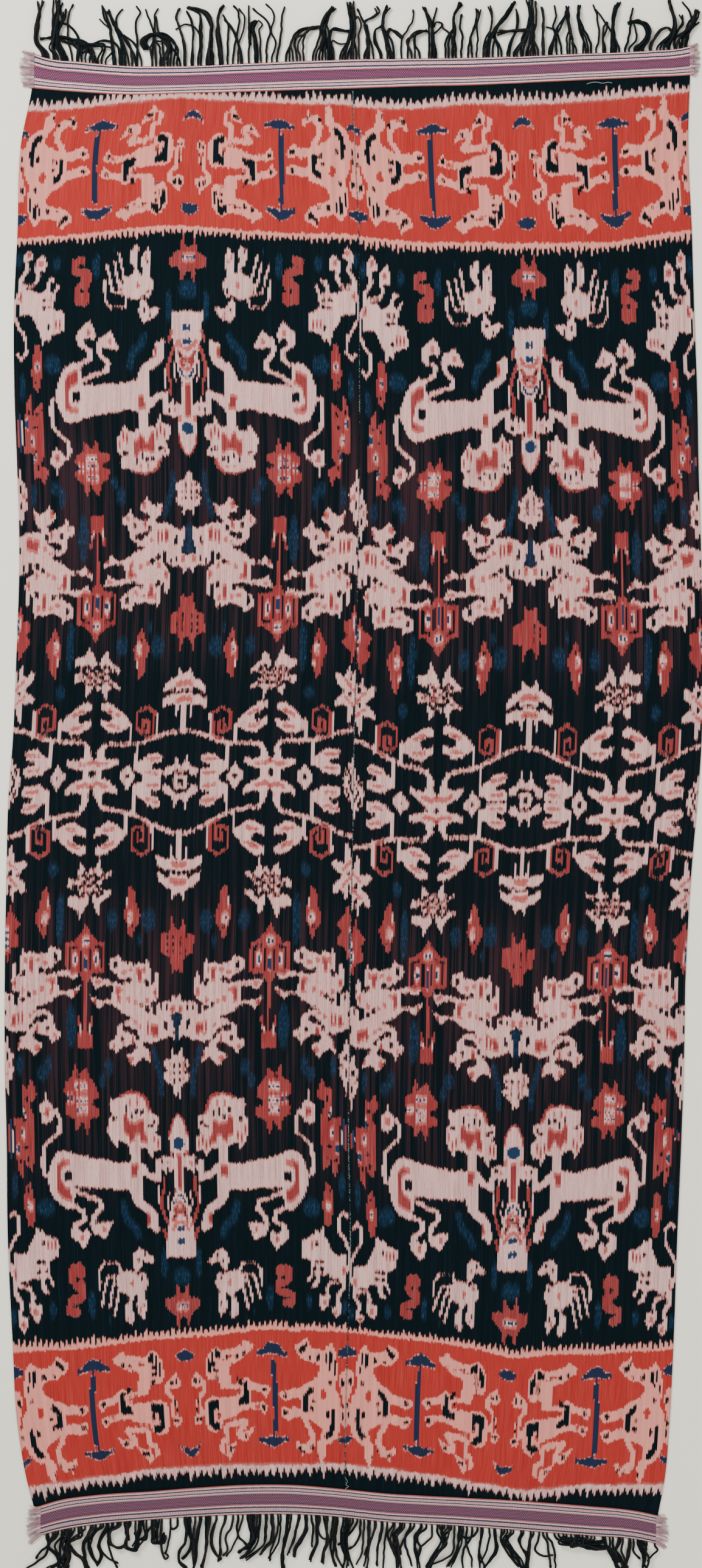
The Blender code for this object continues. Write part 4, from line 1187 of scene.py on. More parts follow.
# A lock of fringe: how many strands, their roots along the band, then places that they pass
# (across, down, spread of the lock there). Strands keep their order, apart from small slips.
farLocks = (
    (5, 68, 82, (60.5, 72, 5), (61, 46, 8), (66, 22, 6), (68, 2, 12)),
    (7, 86, 113, (92, 82, 17), (91, 61, 11), (94, 37, 13), (96, 12, 9), (95, 1, 12)),
    (1, 91, 91, (88, 60, 0), (87, 30, 0), (88, 1, 0)),
    (3, 100, 110, (95, 60, 6), (99, 42, 6), (106, 30, 6), (107, 18, 6)),
    (2, 126, 131, (129, 64, 3), (122, 51, 2), (108, 41, 3), (95, 38, 4)),
    (1, 119, 119, (112, 64, 0), (112.5, 33, 0), (116, 17, 0), (121, 6, 0)),
    (8, 124, 177, (153, 80, 38), (136, 73, 18), (120, 67, 7), (103, 62, 7), (90, 60, 8)),
    (2, 150, 160, (138, 76, 8), (115, 72, 6), (85, 63, 6), (66, 66, 4)),
    (2, 196, 200, (190, 73, 3), (177, 68, 3), (163, 69, 3), (152, 75, 3)),
    (2, 184, 193, (183, 66, 4), (180, 45, 4), (175, 30, 4), (169, 10, 2)),
    (1, 188, 188, (184, 60, 0), (178, 45, 0), (171, 40, 0), (164, 33, 0)),
    (5, 199, 226, (206, 74, 18), (197, 56, 6), (187, 38, 4), (177, 18, 4)),
    (2, 220, 236, (224, 78, 8), (212, 66, 5), (203, 60, 4)),
    (1, 206, 206, (199, 62, 0), (191, 42, 0), (193, 25, 0), (203, 15, 0)),
    (1, 226, 226, (226, 65, 0), (224, 37, 0), (230, 20, 0), (225, 12, 0)),
    (7, 262, 300, (284, 74, 26), (266, 61, 14), (248, 60, 8), (236, 70, 10), (241, 82, 8)),
    (1, 250, 250, (252, 70, 0), (252, 50, 0), (246, 36, 0), (239, 17, 0)),
    (1, 256, 256, (255, 60, 0), (255, 40, 0), (254, 28, 0), (260, 16, 0)),
    (1, 268, 268, (266, 64, 0), (259, 48, 0), (257, 29, 0)),
    (3, 244, 282, (258, 76, 22), (254, 64, 6)),
    (2, 302, 306, (301, 68, 3), (294, 46, 3), (289.5, 28, 2), (296, 14, 3)),
    (1, 330, 330, (329, 62, 0), (320, 46, 0), (306, 41, 0), (288, 50, 0)),
    (2, 314, 318, (317, 74, 3), (315, 37, 2), (308, 18, 3)),
    (5, 338, 352, (346, 60, 5), (347, 40, 4), (336, 22, 8), (322, 16, 7), (308, 14, 4)),
    (2, 324, 332, (330, 70, 6), (331, 45, 4), (328, 24, 5), (318, 18, 4)),
    (4, 359, 368, (359, 58, 4), (359, 32, 4), (363, 16, 7), (368, 8, 5)),
    (1, 374, 374, (374, 60, 0), (375, 42, 0), (367, 26, 0)),
    (2, 395, 400, (391, 70, 3), (380, 46, 2), (370, 30, 3)),
    (1, 383, 383, (387, 68, 0), (393, 44, 0), (391, 20, 0), (384, 8, 0)),
    (1, 391, 391, (394, 70, 0), (401, 46, 0), (401, 28, 0), (393, 14, 0)),
    (1, 409, 409, (409, 60, 0), (409, 30, 0), (409, 10, 0)),
    (4, 420, 424, (419, 66, 3), (416, 45, 3), (421, 36, 4), (413, 42, 5), (411, 62, 4), (411, 76, 3)),
    (1, 429, 429, (428, 70, 0), (426, 50, 0), (430, 40, 0), (424, 35, 0)),
    (1, 438, 438, (440, 70, 0), (445, 52, 0), (436, 33, 0), (424, 22, 0), (416, 14, 0)),
    (1, 448, 448, (453, 72, 0), (446, 50, 0), (451, 35, 0), (444, 13, 0), (437, 7, 0)),
    (1, 455, 455, (460, 74, 0), (463, 50, 0), (464, 28, 0), (468, 11, 0)),
    (6, 467, 503, (486, 68, 26), (500, 53, 18), (515, 47, 6), (530, 45, 5)),
    (6, 511, 543, (532, 62, 14), (533, 42, 9), (540, 25, 8), (551, 13, 10)),
    (3, 538, 547, (541, 62, 5), (545, 49, 4), (560, 51, 4), (578, 53, 4)),
    (1, 549, 549, (548, 68, 0), (556, 73, 0), (570, 71, 0)),
    (7, 556, 588, (578, 70, 15), (580, 45, 12), (578, 22, 7), (577, 5, 10)),
    (1, 598, 598, (606, 74, 0), (603, 50, 0), (595, 30, 0), (588, 14, 0)),
    (1, 592, 592, (590, 60, 0), (593, 40, 0), (588, 28, 0), (583, 34, 0)),
    (2, 603, 607, (604, 60, 3), (600, 36, 2), (613, 30, 3), (622, 21, 3), (617, 14, 3)),
    (1, 614, 614, (605, 56, 0), (603, 44, 0)),
    (2, 624, 628, (615, 64, 3), (617, 50, 3), (628, 44, 2), (631, 26, 2), (636, 10, 8)),
    (3, 634, 650, (636, 66, 10), (629, 46, 4), (631, 27, 3), (638, 11, 7)),
    (2, 641, 645, (637, 58, 2), (641, 50, 3), (650, 54, 3), (661, 65, 3)),
    (1, 659, 659, (661, 64, 0), (672, 46, 0), (679, 30, 0), (680, 16, 0)),
    (4, 667, 692, (676, 70, 14), (680, 60, 12), (692, 53, 8), (703, 50, 5)),
    (4, 703, 720, (709, 66, 9), (708, 48, 7), (706, 36, 6), (698, 13, 3)),
    (1, 712, 712, (711, 55, 0), (712, 38, 0), (718, 14, 0)),
    (1, 716, 716, (712, 58, 0), (722, 48, 0), (727, 40, 0), (716, 38, 0), (713, 46, 0)),
    (4, 729, 752, (742, 64, 12), (746, 46, 6), (745, 33, 3), (750, 19, 3), (758, 5, 4)),
    (1, 758, 758, (759, 58, 0), (756, 46, 0), (758, 23, 0)),
    (1, 745, 745, (738, 55, 0), (728, 47, 0), (726, 40, 0)),
    (3, 766, 786, (778, 62, 12), (782, 42, 6), (785, 26, 5), (786, 15, 8)),
    (2, 793, 801, (800, 68, 5), (808, 48, 3), (808, 30, 3), (804, 9, 3)),
    (4, 792, 812, (806, 66, 8), (818, 46, 6), (832, 26, 6), (845, 4, 5)),
    (2, 817, 826, (820, 78, 5), (816, 68, 3), (812, 60, 5)),
    (2, 833, 838, (842, 66, 3), (850, 48, 3), (849, 26, 3), (848, 15, 3)),
    (3, 843, 850, (862, 64, 6), (866, 53, 6), (845, 53, 6), (818, 56, 8)),
    (8, 854, 886, (872, 64, 18), (876, 42, 12), (874, 22, 13), (874, 1, 14)),
    (2, 889, 896, (892, 60, 6), (893, 30, 5), (890, 14, 8)),
    (1, 923, 923, (919, 68, 0), (911, 50, 0), (897, 45, 0)),
    (3, 900, 908, (910, 66, 5), (919, 44, 5), (928, 28, 4), (932, 15, 4)),
    (1, 914, 914, (912, 60, 0), (909, 44, 0), (914, 24, 0), (912, 11, 0)),
    (4, 928, 950, (938, 64, 12), (935, 44, 7), (933, 26, 4), (932, 12, 4)),
    (4, 956, 974, (960, 66, 12), (954, 48, 6), (949.5, 30, 3), (952, 11, 3)),
    (1, 980, 980, (984, 66, 0), (983, 44, 0), (981, 24, 0), (975, 10, 0)),
    (2, 990, 996, (991, 66, 4), (994, 46, 4), (997, 38, 3)),
    (1, 1018, 1018, (1011, 66, 0), (1000, 46, 0), (993, 36, 0), (979, 14, 0)),
    (4, 1003, 1014, (1008, 60, 6), (1007, 40, 7), (1010, 24, 8), (1016, 5, 9)),
    (1, 1027, 1027, (1033, 66, 0), (1036, 44, 0), (1037, 28, 0), (1042, 13, 0)),
    (1, 1034, 1034, (1045, 66, 0), (1045, 48, 0), (1041, 38, 0)),
    (6, 1040, 1059, (1060, 70, 10), (1066, 56, 6), (1061, 42, 5), (1049, 38, 5), (1033, 39, 4)),
    (2, 1067, 1071, (1078, 62, 4), (1088, 49, 4), (1098, 47, 3), (1106, 52, 3)),
    (4, 1076, 1100, (1090, 74, 14), (1105, 58, 8), (1109, 38, 4), (1102, 16, 5), (1100, 2, 6)),
    (2, 1086, 1104, (1100, 70, 12), (1110, 56, 6), (1120, 38, 6), (1118, 26, 10)),
    (5, 1106, 1128, (1118, 66, 14), (1130, 52, 12), (1138, 38, 10), (1146, 20, 12)),
    (1, 1128, 1128, (1131, 60, 0), (1137, 40, 0), (1132, 16, 0), (1121, 3, 0)),
    (1, 1120, 1120, (1124, 62, 0), (1138, 46, 0), (1150, 36, 0)),
)
nearLocks = (
    (1, 79, 79, (80, 2538, 0), (75, 2553, 0), (64, 2562, 0), (44, 2574, 0)),
    (1, 77, 77, (79, 2536, 0), (70, 2545, 0), (63, 2553, 0), (59, 2562, 0)),
    (6, 84, 114, (92, 2538, 24), (99, 2556, 16), (104, 2576, 24)),
    (3, 110, 118, (110, 2540, 6), (104, 2558, 8), (82, 2576, 10)),
    (4, 120, 142, (128, 2518, 15), (113, 2534, 9), (112, 2556, 10), (104, 2574, 8)),
    (3, 100, 116, (112, 2536, 7), (124, 2550, 7), (138, 2562, 6), (144, 2576, 8)),
    (3, 146, 160, (148, 2518, 8), (138, 2536, 6), (139, 2556, 6), (144, 2577, 6)),
    (2, 164, 172, (160, 2514, 5), (148, 2535, 5), (152, 2556, 4), (160, 2568, 4)),
    (2, 174, 180, (170, 2520, 4), (162, 2538, 3), (166, 2556, 3), (160, 2571, 3)),
    (1, 187, 187, (174, 2518, 0), (165, 2538, 0), (173, 2554, 0), (196, 2566, 0)),
    (1, 184, 184, (180, 2520, 0), (179, 2541, 0), (185, 2556, 0), (193, 2576, 0)),
    (3, 191, 200, (182, 2514, 4), (181, 2534, 5), (196, 2541, 5), (208, 2535, 5)),
    (5, 203, 217, (209, 2514, 9), (210, 2531, 8)),
    (3, 220, 236, (224, 2520, 10), (222, 2544, 10), (208, 2540, 6), (207, 2528, 4)),
    (3, 228, 244, (236, 2520, 10), (230, 2532, 12), (220, 2542, 6)),
    (5, 247, 268, (256, 2522, 14), (258, 2534, 10), (266, 2534, 8), (270, 2520, 6)),
    (1, 252, 252, (244, 2515, 0), (240, 2528, 0), (228, 2527, 0), (220, 2518, 0)),
    (1, 266, 266, (265, 2535, 0), (268, 2552, 0), (273, 2561, 0), (277, 2557, 0), (270, 2552, 0)),
    (1, 281, 281, (279, 2522, 0), (276, 2540, 0), (271, 2552, 0)),
    (1, 293, 293, (292, 2506, 0), (284, 2511, 0), (279, 2508, 0)),
    (3, 302, 308, (307, 2516, 3), (305, 2532, 3), (295, 2548, 3), (296, 2564, 3), (308, 2576, 3)),
    (2, 310, 314, (311, 2516, 3), (316, 2534, 3), (308, 2552, 3), (300, 2562, 4)),
    (2, 319, 323, (318, 2522, 3), (318, 2550, 3), (318, 2570, 4)),
    (2, 327, 332, (326, 2516, 3), (321, 2540, 3), (322, 2560, 3), (318, 2576, 4)),
    (3, 338, 348, (340, 2516, 5), (340, 2536, 3), (336, 2558, 4), (332, 2576, 4)),
    (2, 354, 358, (350, 2515, 3), (348, 2535, 3), (354, 2553, 3), (364, 2560, 4)),
    (2, 367, 375, (364, 2515, 4), (361, 2532, 3), (362, 2548, 3), (360, 2562, 6)),
    (1, 384, 384, (381, 2508, 0), (371, 2526, 0), (374, 2545, 0), (366, 2557, 0)),
    (1, 399, 399, (396, 2506, 0), (391, 2522, 0), (382, 2540, 0), (373, 2556, 0)),
    (1, 391, 391, (390, 2512, 0), (393, 2524, 0), (405, 2538, 0)),
    (5, 406, 419, (415, 2510, 8), (416, 2524, 8), (408, 2538, 7), (392, 2549, 5)),
    (3, 422, 430, (423, 2512, 6), (420, 2528, 6), (412, 2545, 6), (398, 2558, 6)),
    (2, 436, 440, (437, 2515, 3), (434, 2533, 3), (418, 2550, 4), (404, 2560, 4)),
    (2, 445, 450, (448, 2514, 3), (446, 2530, 3), (436, 2543, 3), (428, 2556, 3)),
    (2, 455, 463, (458, 2514, 5), (454, 2534, 5), (447, 2548, 4), (442, 2562, 5)),
    (3, 470, 481, (473, 2510, 6), (468, 2530, 5), (465, 2550, 5), (466, 2577, 5)),
    (2, 489, 494, (488, 2512, 4), (482, 2532, 4), (475, 2552, 5)),
    (2, 500, 506, (503, 2512, 4), (492, 2532, 3), (485, 2545, 3), (484, 2557, 3)),
    (1, 512, 512, (515, 2512, 0), (513, 2530, 0), (513, 2543, 0)),
    (2, 518, 524, (521, 2514, 4), (521, 2534, 3), (513, 2552, 3), (510, 2563, 3)),
    (3, 531, 541, (537, 2514, 5), (538, 2530, 4), (532, 2552, 4), (530, 2566, 4)),
    (1, 526, 526, (525, 2519, 0), (530, 2526, 0), (540, 2528, 0)),
    (4, 546, 557, (549, 2516, 6), (548, 2540, 7), (550, 2558, 8), (556, 2572, 10)),
    (5, 562, 581, (566, 2516, 12), (566, 2540, 12), (570, 2558, 12), (568, 2574, 20)),
    (1, 587, 587, (580, 2512, 0), (568, 2526, 0), (556, 2536, 0)),
    (1, 592, 592, (592, 2514, 0), (590, 2526, 0), (582, 2538, 0), (574, 2546, 0)),
    (1, 598, 598, (597, 2530, 0), (594, 2550, 0), (586, 2571, 0)),
    (2, 604, 609, (604, 2520, 4), (603, 2545, 5), (601, 2577, 6)),
    (2, 614, 620, (614, 2518, 4), (606, 2538, 3), (602, 2556, 4)),
    (2, 626, 631, (626, 2520, 4), (620, 2544, 4), (618, 2572, 4)),
    (1, 637, 637, (634, 2520, 0), (632, 2545, 0), (629, 2577, 0)),
    (2, 645, 650, (640, 2518, 3), (643, 2536, 3), (652, 2556, 4), (654, 2577, 4)),
    (3, 656, 667, (650, 2520, 5), (652, 2540, 5), (655, 2558, 4), (656, 2577, 5)),
    (1, 674, 674, (666, 2524, 0), (667, 2540, 0), (673, 2558, 0), (677, 2571, 0)),
    (1, 681, 681, (670, 2520, 0), (660, 2536, 0), (658, 2556, 0)),
    (2, 690, 694, (684, 2520, 2), (681, 2536, 3), (684, 2556, 4), (689, 2577, 4)),
    (1, 701, 701, (688, 2520, 0), (686, 2530, 0), (692, 2540, 0), (686, 2556, 0)),
    (1, 710, 710, (709, 2524, 0), (700, 2534, 0), (690, 2542, 0), (686, 2562, 0)),
    (7, 717, 744, (730, 2516, 19), (730, 2532, 9), (716, 2552, 9), (702, 2574, 8)),
    (1, 747, 747, (746, 2530, 0), (745, 2548, 0), (728, 2562, 0), (712, 2570, 0)),
    (3, 752, 762, (757, 2520, 6), (755, 2536, 4), (748, 2556, 5), (738, 2576, 6)),
    (1, 785, 785, (780, 2520, 0), (766, 2526, 0), (757, 2521, 0)),
    (1, 776, 776, (774, 2524, 0), (764, 2542, 0), (759, 2558, 0), (762, 2577, 0)),
    (1, 768, 768, (765, 2528, 0), (768, 2544, 0), (775, 2560, 0), (775, 2577, 0)),
    (2, 791, 794, (791, 2524, 3), (787, 2548, 3), (790, 2574, 8)),
    (1, 804, 804, (804, 2524, 0), (800, 2545, 0), (790, 2568, 0)),
    (2, 812, 816, (814, 2528, 3), (816, 2544, 3), (806, 2562, 3), (794, 2577, 6)),
    (5, 822, 847, (830, 2524, 16), (836, 2542, 12), (848, 2562, 12), (858, 2577, 10)),
    (2, 855, 863, (854, 2528, 5), (858, 2543, 4), (866, 2552, 5), (866, 2577, 8)),
    (2, 870, 879, (873, 2526, 6), (870, 2544, 5), (865, 2577, 6)),
    (1, 886, 886, (884, 2532, 0), (880, 2545, 0), (894, 2556, 0), (909, 2553, 0)),
    (1, 892, 892, (898, 2530, 0), (901, 2550, 0), (905, 2577, 0)),
    (1, 899, 899, (907, 2534, 0), (911, 2552, 0), (913, 2577, 0)),
    (10, 908, 975, (935, 2530, 44), (957, 2537, 18), (980, 2541, 10), (1005, 2543, 8), (1012, 2562, 10)),
    (4, 940, 1000, (955, 2527, 36), (972, 2534, 14), (990, 2532, 10)),
    (4, 988, 1010, (1002, 2544, 8), (1010, 2558, 10), (1020, 2577, 12)),
    (3, 1014, 1026, (1016, 2546, 8), (1024, 2560, 8), (1028, 2577, 10)),
    (2, 1032, 1037, (1034, 2544, 4), (1030, 2564, 5), (1022, 2577, 6)),
    (1, 1041, 1041, (1042, 2548, 0), (1052, 2561, 0)),
    (6, 1046, 1064, (1057, 2542, 11), (1059, 2556, 8), (1058, 2577, 14)),
    (1, 1076, 1076, (1080, 2544, 0), (1072, 2554, 0), (1064, 2564, 0)),
)
fringeSettings = {
    "steps": 26, "sides": 6, "thick": {"far": 3.8, "near": 4.0}, "tipThick": 2.9,
    "wiggle": 0.9, "layer": 4.6, "knotted": 0.3, "knot": 0.5,
}
# Yarn colours: the groove colour is painted shade for the valleys between the plies, and the grey-brown of
# the browner yarns also serves as a painted highlight on their ply ridges.
yarnColours = {
    "dark": swatch(4, 9, 11), "dusty": swatch(17, 27, 30),
    "greyish": swatch(54, 44, 44), "paintedGrooveShade": swatch(2, 4, 5),
}


# Dark handspun cotton: two plies wind round each yarn, with browner, dustier yarns here and there. The ply
# ridges of the browner yarns are painted lighter, partly as a painted highlight, and the grooves between the
# plies are painted near black as painted shade.
def yarnFinish():
    f = Finish("dark twisted yarn", 0.9, 0.1)
    around, along, tint = f.split(f.attribute("weave"))
    ply = f.ridges((around + along / 7.0) * (2 * math.pi))
    fuzz = f.noise(f.joined(around * 3.0, along / 1.6, tint * 40), 2.0)
    long = f.noise(f.joined(along / 22.0, tint * 50))
    colour = f.blend(f.rise(fuzz, 0.35, 0.75), yarnColours["dark"], yarnColours["dusty"])
    greyish = f.rise(long * 0.5 + tint * 0.5, 0.5, 0.72)
    # On the browner yarns the ply ridges are painted lighter grey-brown: the yarns' own brown, with a painted
    # highlight on the ridges.
    colour = f.blend(greyish * f.rise(ply, 0.3, 0.9) * 0.4, colour, yarnColours["greyish"])
    # Painted shade: the grooves between the plies are painted near black.
    f.feed("Base Color", f.blend((1 - f.rise(ply, 0.0, 0.4)) * 0.7, colour, yarnColours["paintedGrooveShade"]))
    f.relief(ply + fuzz * 0.4, 0.0007, 0.9)
    return f


# Where a strand passes: its root under the band, then its lock's places with a slip at each.
def strandStops(dice, end, root, share, places):
    inward = 1 if end == "far" else -1
    rootDown = float(fringeSide[end](root))
    stops = [(root, rootDown + 1.6 * inward), (root, rootDown - 3.5 * inward)]
    for at, (across, down, spread) in enumerate(places):
        slip = (share - 0.5) * spread + dice.normal(0, 0.16 * spread + 0.3)
        drop = dice.normal(0, 0.12 * spread + 0.3)
        if at == len(places) - 1:
            drop += dice.uniform(-2.5, 2.5)
        stops.append((across + slip, down + drop))
    return stops


# Radius along a strand's run: it swells as it leaves the band, thins to its tip, and may end in a knot.
def strandRadius(run, thick, knotted):
    s = fringeSettings
    radius = np.interp(run, [0, run[-1] * 0.75, run[-1]], [thick, thick * 0.92, s["tipThick"]]) / 2
    radius = radius * (0.62 + 0.38 * ease(0, 6, run))
    if knotted:
        radius = radius * (1 + s["knot"] * np.exp(-(((run - run[-1] + 3) / 2.2) ** 2)))
    return radius


# The strands of all locks as smooth paths that wiggle a little, each in one of three layers of its lock,
# with their radii and tints.
def lockPaths(locks, end, seed):
    s = fringeSettings
    dice = np.random.default_rng(seed)
    paths, radii, tints = [], [], []
    for count, rootFrom, rootTo, *places in locks:
        height = dice.uniform(0.2, 0.5)
        for i in range(count):
            share = (i + 0.5) / count
            root = rootFrom + (rootTo - rootFrom) * share + dice.normal(0, 0.5)
            across, down, t = smoothPath(strandStops(dice, end, root, share, places), s["steps"])
            phase = dice.uniform(0, 100)
            swell = s["wiggle"] * ease(0, 14, t)
            across = across + swell * latticeNoise(t / 8 + phase, t * 0 + phase, seed)
            down = down + 0.7 * swell * latticeNoise(t / 9 - phase, t * 0 + phase, seed + 1)
            radius = strandRadius(t, s["thick"][end], dice.uniform() < s["knotted"])
            rise = (i % 3) / 2 * min(count, 4) / 4 + height
            lift = radius + 0.1 + s["layer"] * rise * ease(0, 16, t) * (1 - 0.6 * ease(0.75, 1, t / t[-1]))
            lift = lift + 0.5 * np.abs(latticeNoise(t / 12 + phase, t * 0 + 3, seed + 2)) * ease(0, 10, t)
            paths.append(toFrame(across, down, lift))
            radii.append(radius * mm * dice.uniform(0.88, 1.1))
            tints.append(dice.uniform())
    return np.array(paths), np.array(radii), np.array(tints)


darkYarn = yarnFinish()
fringes = {}
for end, locks, seed in (("far", farLocks, 71), ("near", nearLocks, 81)):
    paths, radii, tints = lockPaths(locks, end, seed)
    fringes[end] = yarnPiece(f"twisted_fringe_{end}", paths, radii, tints, fringeSettings["sides"], darkYarn)
    print("fringe", end, len(paths), "strands")

# Loose ends of the band's own yarns, fanned out at its four cut ends.
frayEnds = {  # band end: across and down where the yarns leave, their reach, lean of first and last
    "far_left": ("far", 52, -1, 17, -6, -1), "far_right": ("far", 1139, 1, 10, -6, 2),
    "near_left": ("near", 62, -1, 16, -2, 16), "near_right": ("near", 1083, 1, 14, -2, 10),
}
fraySettings = {"yarns": 54, "steps": 9, "sides": 5, "thick": 1.25}
frayYarns = (  # roughly the band's stripes, from its fringe side to its cloth side
    "salmon", "ink", "rose", "ink", "white", "salmon", "violet", "crimson", "rose", "violet", "white",
    "ink", "rose", "ink", "salmon",
)


# Loose yarn ends: a ramp gives each yarn the colour of the stripe that it comes from.
def frayFinish():
    f = Finish("loose yarn ends", 0.9, 0.12)
    around, along, tint = f.split(f.attribute("weave"))
    stops = [(i / len(frayYarns), bandColours[name]) for i, name in enumerate(frayYarns)]
    colour = f.stripes(tint, stops)
    fuzz = f.noise(f.joined(around * 3, along / 1.5, tint * 60), 2.0)
    faded = f.blend(0.3, colour, swatch(216, 190, 190))
    f.feed("Base Color", f.blend(f.rise(fuzz, 0.4, 0.7) * 0.4, faded, swatch(130, 110, 120)))
    f.relief(f.ridges((around + along / 3.0) * (2 * math.pi)), 0.0003, 0.8)
    return f


# Yarns that leave the cut end in clumps, lean a little and sink toward the ground.
def frayPiece(place, finish):
    end, across0, way, reach, leanFirst, leanLast = frayEnds[place]
    s = fraySettings
    dice = np.random.default_rng(90 + len(place) + way)
    outer, inner = float(fringeSide[end](across0)), float(clothSide[end](across0))
    share = (np.arange(s["yarns"]) + dice.uniform(0.2, 0.8, s["yarns"])) / s["yarns"]
    clump = share + 0.035 * np.sin(share * 2 * math.pi * 5 + 1)
    t = np.linspace(0, 1, s["steps"])[None]
    start = outer * (1 - share) + inner * share
    lean = leanFirst + (leanLast - leanFirst) * (share if end == "far" else 1 - share)
    length = reach * dice.uniform(0.75, 1.1, s["yarns"]) * (0.8 + 0.35 * np.sin(share * math.pi))
    span = (inner - outer) * (clump - share)
    across = across0 + way * (length[:, None] * t - 5 * (1 - t))
    down = start[:, None] + (lean + span)[:, None] * t ** 1.4 + dice.normal(0, 0.9, (s["yarns"], 1)) * t
    down = down + 0.5 * latticeNoise(t * 4 + share[:, None] * 90, share[:, None] * 77, 91)
    height = 1.6 * (1 - t) + 0.75 + 1.6 * dice.uniform(0, 1, (s["yarns"], 1)) * np.sin(np.pi * t) + 0.6
    radius = np.broadcast_to(s["thick"] / 2 * (1 - 0.35 * t), across.shape) * mm
    return yarnPiece(f"loose_ends_{place}", toFrame(across, down, height), radius, share, s["sides"], finish)


looseYarn = frayFinish()
frays = {place: frayPiece(place, looseYarn) for place in frayEnds}

# Hand sewing that joins the two widths: short slanting stitches over the seam.
seamSettings = {
    "from": 150.0, "to": 2440.0, "pitch": 2.3, "reach": 1.3, "sunk": 0.5, "rise": 1.1,
    "thick": 0.6, "steps": 6, "sides": 5,
}
threadColours = {"dark": swatch(16, 20, 24), "teal": swatch(44, 78, 84), "grey": swatch(150, 162, 158)}


# Grey thread: the tint takes it from near black through teal to grey.
def threadFinish():
    f = Finish("grey sewing thread", 0.88, 0.12)
    around, along, tint = f.split(f.attribute("weave"))
    colour = f.blend(f.rise(tint, 0.4, 0.95), threadColours["teal"], threadColours["grey"])
    f.feed("Base Color", f.blend(f.rise(tint, 0.2, 0.5), threadColours["dark"], colour))
    f.relief(f.ridges((around + along / 1.6) * (2 * math.pi)), 0.0002, 0.8)
    return f


# Each stitch slants over the seam as a low arch: its height is the square root of a half turn's sine.
def seamStitches(finish):
    s = seamSettings
    dice = np.random.default_rng(101)
    start = np.arange(s["from"], s["to"], s["pitch"])
    start = start + dice.normal(0, 0.35, len(start))
    t = np.linspace(0, 1, s["steps"])[None]
    way = np.where(dice.uniform(size=len(start)) < 0.75, 1.0, -1.0)[:, None]
    down = start[:, None] + t * s["pitch"] * dice.uniform(0.7, 1.5, (len(start), 1))
    reach = s["reach"] * dice.uniform(0.5, 1.25, (len(start), 1))
    across = seamLine(down) + way * reach * (2 * t - 1)
    arch = s["rise"] * np.sin(np.pi * t) ** 0.5
    height = clothLift(across, down) + panelSettings["thick"] - s["sunk"] + arch
    radius = np.full(across.shape, s["thick"] / 2 * mm)
    tints = np.clip(latticeNoise(start / 60, start * 0, 102) * 0.5 + dice.uniform(0.1, 0.9, len(start)), 0, 1)
    return yarnPiece("seam_stitches", toFrame(across, down, height), radius, tints, s["sides"], finish)


# Two stray threads: the sewing's loose tail by the near band and one that lies by the far band.
straySettings = {"steps": 24, "sides": 5, "thick": 0.8, "height": 2.0, "tailRise": 1.4, "tints": (0.75, 0.9)}


def strayThreads(finish):
    s = straySettings
    tail = ((568, 2428), (571, 2433), (569, 2439), (573, 2441), (569, 2444), (566, 2449), (565, 2452))
    stray = ((964, 139), (972, 136.5), (981, 136), (990, 137.5), (1000, 136), (1006, 137))
    paths = []
    for places in (tail, stray):
        across, down, _ = smoothPath(places, s["steps"])
        height = clothLift(across, down) + s["height"] + s["tailRise"] * ease(2438, 2444, down)
        paths.append(toFrame(across, down, height))
    radii = np.full((len(paths), s["steps"]), s["thick"] / 2 * mm)
    return yarnPiece("stray_threads", np.array(paths), radii, s["tints"], s["sides"], finish)


sewingThread = threadFinish()
stitches, strays = seamStitches(sewingThread), strayThreads(sewingThread)
bands = {end: bandPiece(end, bandFinish(end)) for end in ("far", "near")}
print("bands, fringe, frays and sewing made")


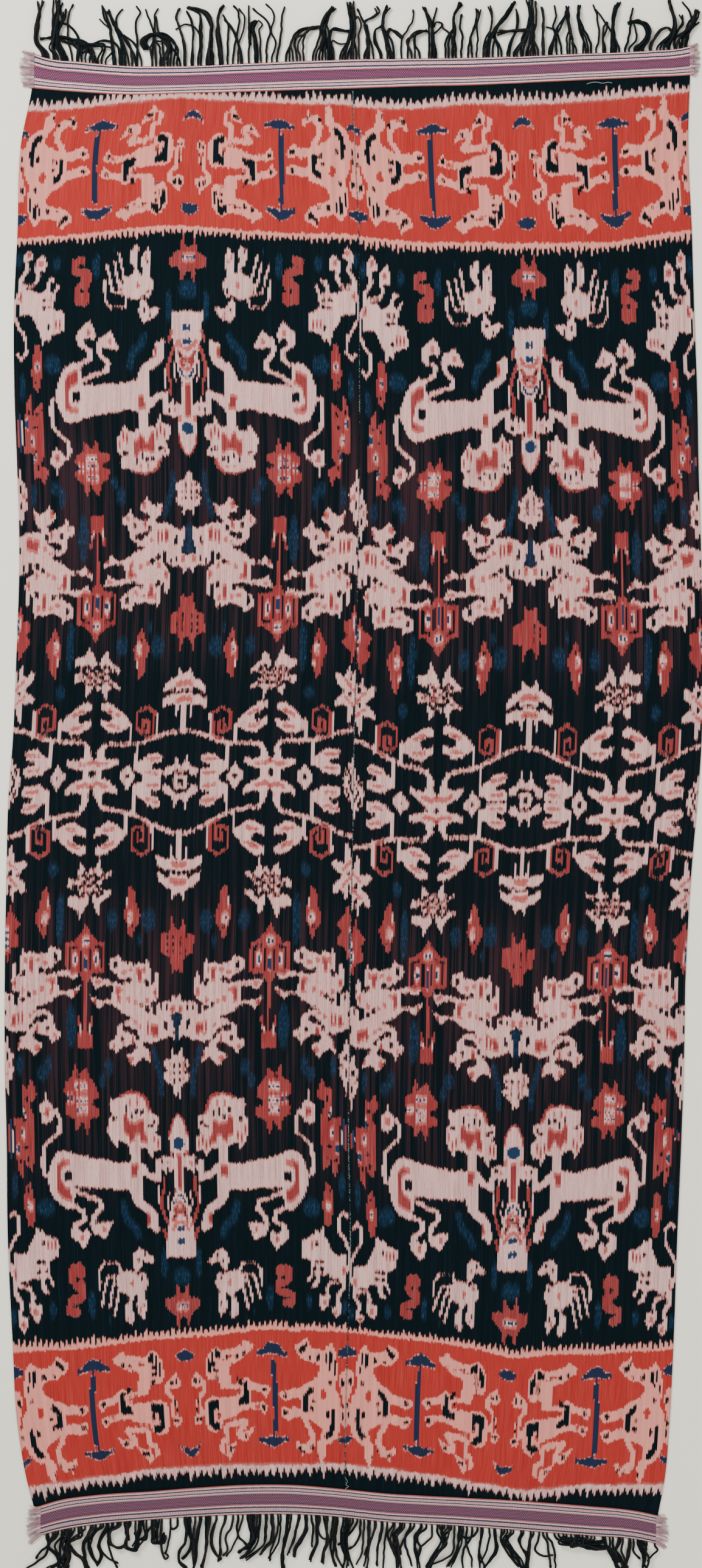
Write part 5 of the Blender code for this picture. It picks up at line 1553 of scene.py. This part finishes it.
# Photograph's view: straight down, one millimetre to a pixel.
cameraSettings = {"lens": 60.0, "sensor": 36.0, "frameAcross": 1154.0, "frameDown": 2576.0, "farClip": 50}
camera = bpy.data.cameras.new("camera")
camera.lens = cameraSettings["lens"]
camera.sensor_width = cameraSettings["sensor"]
camera.sensor_fit = "VERTICAL"
camera.sensor_height = cameraSettings["sensor"]
cameraPiece = bpy.data.objects.new("camera", camera)
bpy.context.scene.collection.objects.link(cameraPiece)
distance = camera.lens / camera.sensor_height * cameraSettings["frameDown"] * mm
cameraPiece.location = toFrame(cameraSettings["frameAcross"] / 2, cameraSettings["frameDown"] / 2, 0)
cameraPiece.location.z = distance
camera.clip_end = cameraSettings["farClip"]
bpy.context.scene.camera = cameraPiece

for side, piece in panels.items():
    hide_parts(f"panel_{side}")
for end in bands:
    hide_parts(f"band_{end}")
    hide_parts(f"fringe_{end}")
for place, piece in frays.items():
    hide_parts(f"fray_{place}")
for piece in (*panels.values(), *bands.values(), *fringes.values(), *frays.values(), stitches, strays):
    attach(piece, "root")

# Studio: a pale floor just under the cloth, and soft lights from two sides.
studioSettings = {"floor": swatch(226, 221, 205), "floorReach": 6.0, "floorDrop": 0.0006, "sky": 0.98}
floorMesh = bpy.data.meshes.new("floor")
reach, low = studioSettings["floorReach"], -studioSettings["floorDrop"]
floorCorners = [(-reach, -reach, low), (reach, -reach, low), (reach, reach, low), (-reach, reach, low)]
floorMesh.from_pydata(floorCorners, [], [(0, 1, 2, 3)])
floor = bpy.data.objects.new("floor", floorMesh)
bpy.context.scene.collection.objects.link(floor)
floorFinish = Finish("pale floor", 0.75)
floorFinish.shader.inputs["Base Color"].default_value = (*studioSettings["floor"], 1)
floorMesh.materials.append(floorFinish.material)


# A round lamp that points at the origin.
def softLight(name, place, size, power):
    light = bpy.data.lights.new(name, "AREA")
    light.shape = "DISK"
    light.size = size
    light.energy = power
    lamp = bpy.data.objects.new(name, light)
    bpy.context.scene.collection.objects.link(lamp)
    lamp.location = place
    x, y, z = place
    lamp.rotation_euler = (math.atan2(math.hypot(x, y), z), 0, math.atan2(x, -y))


softLight("key light", (-1.9, 2.4, 3.0), 1.6, 215)
softLight("fill light", (2.2, -1.8, 3.2), 2.6, 75)
world = bpy.data.worlds.new("studio")
bpy.context.scene.world = world
world.use_nodes = True
sky = world.node_tree.nodes["Background"]
sky.inputs["Color"].default_value = (1, 1, 1, 1)
sky.inputs["Strength"].default_value = studioSettings["sky"]

bpy.context.view_layer.update()
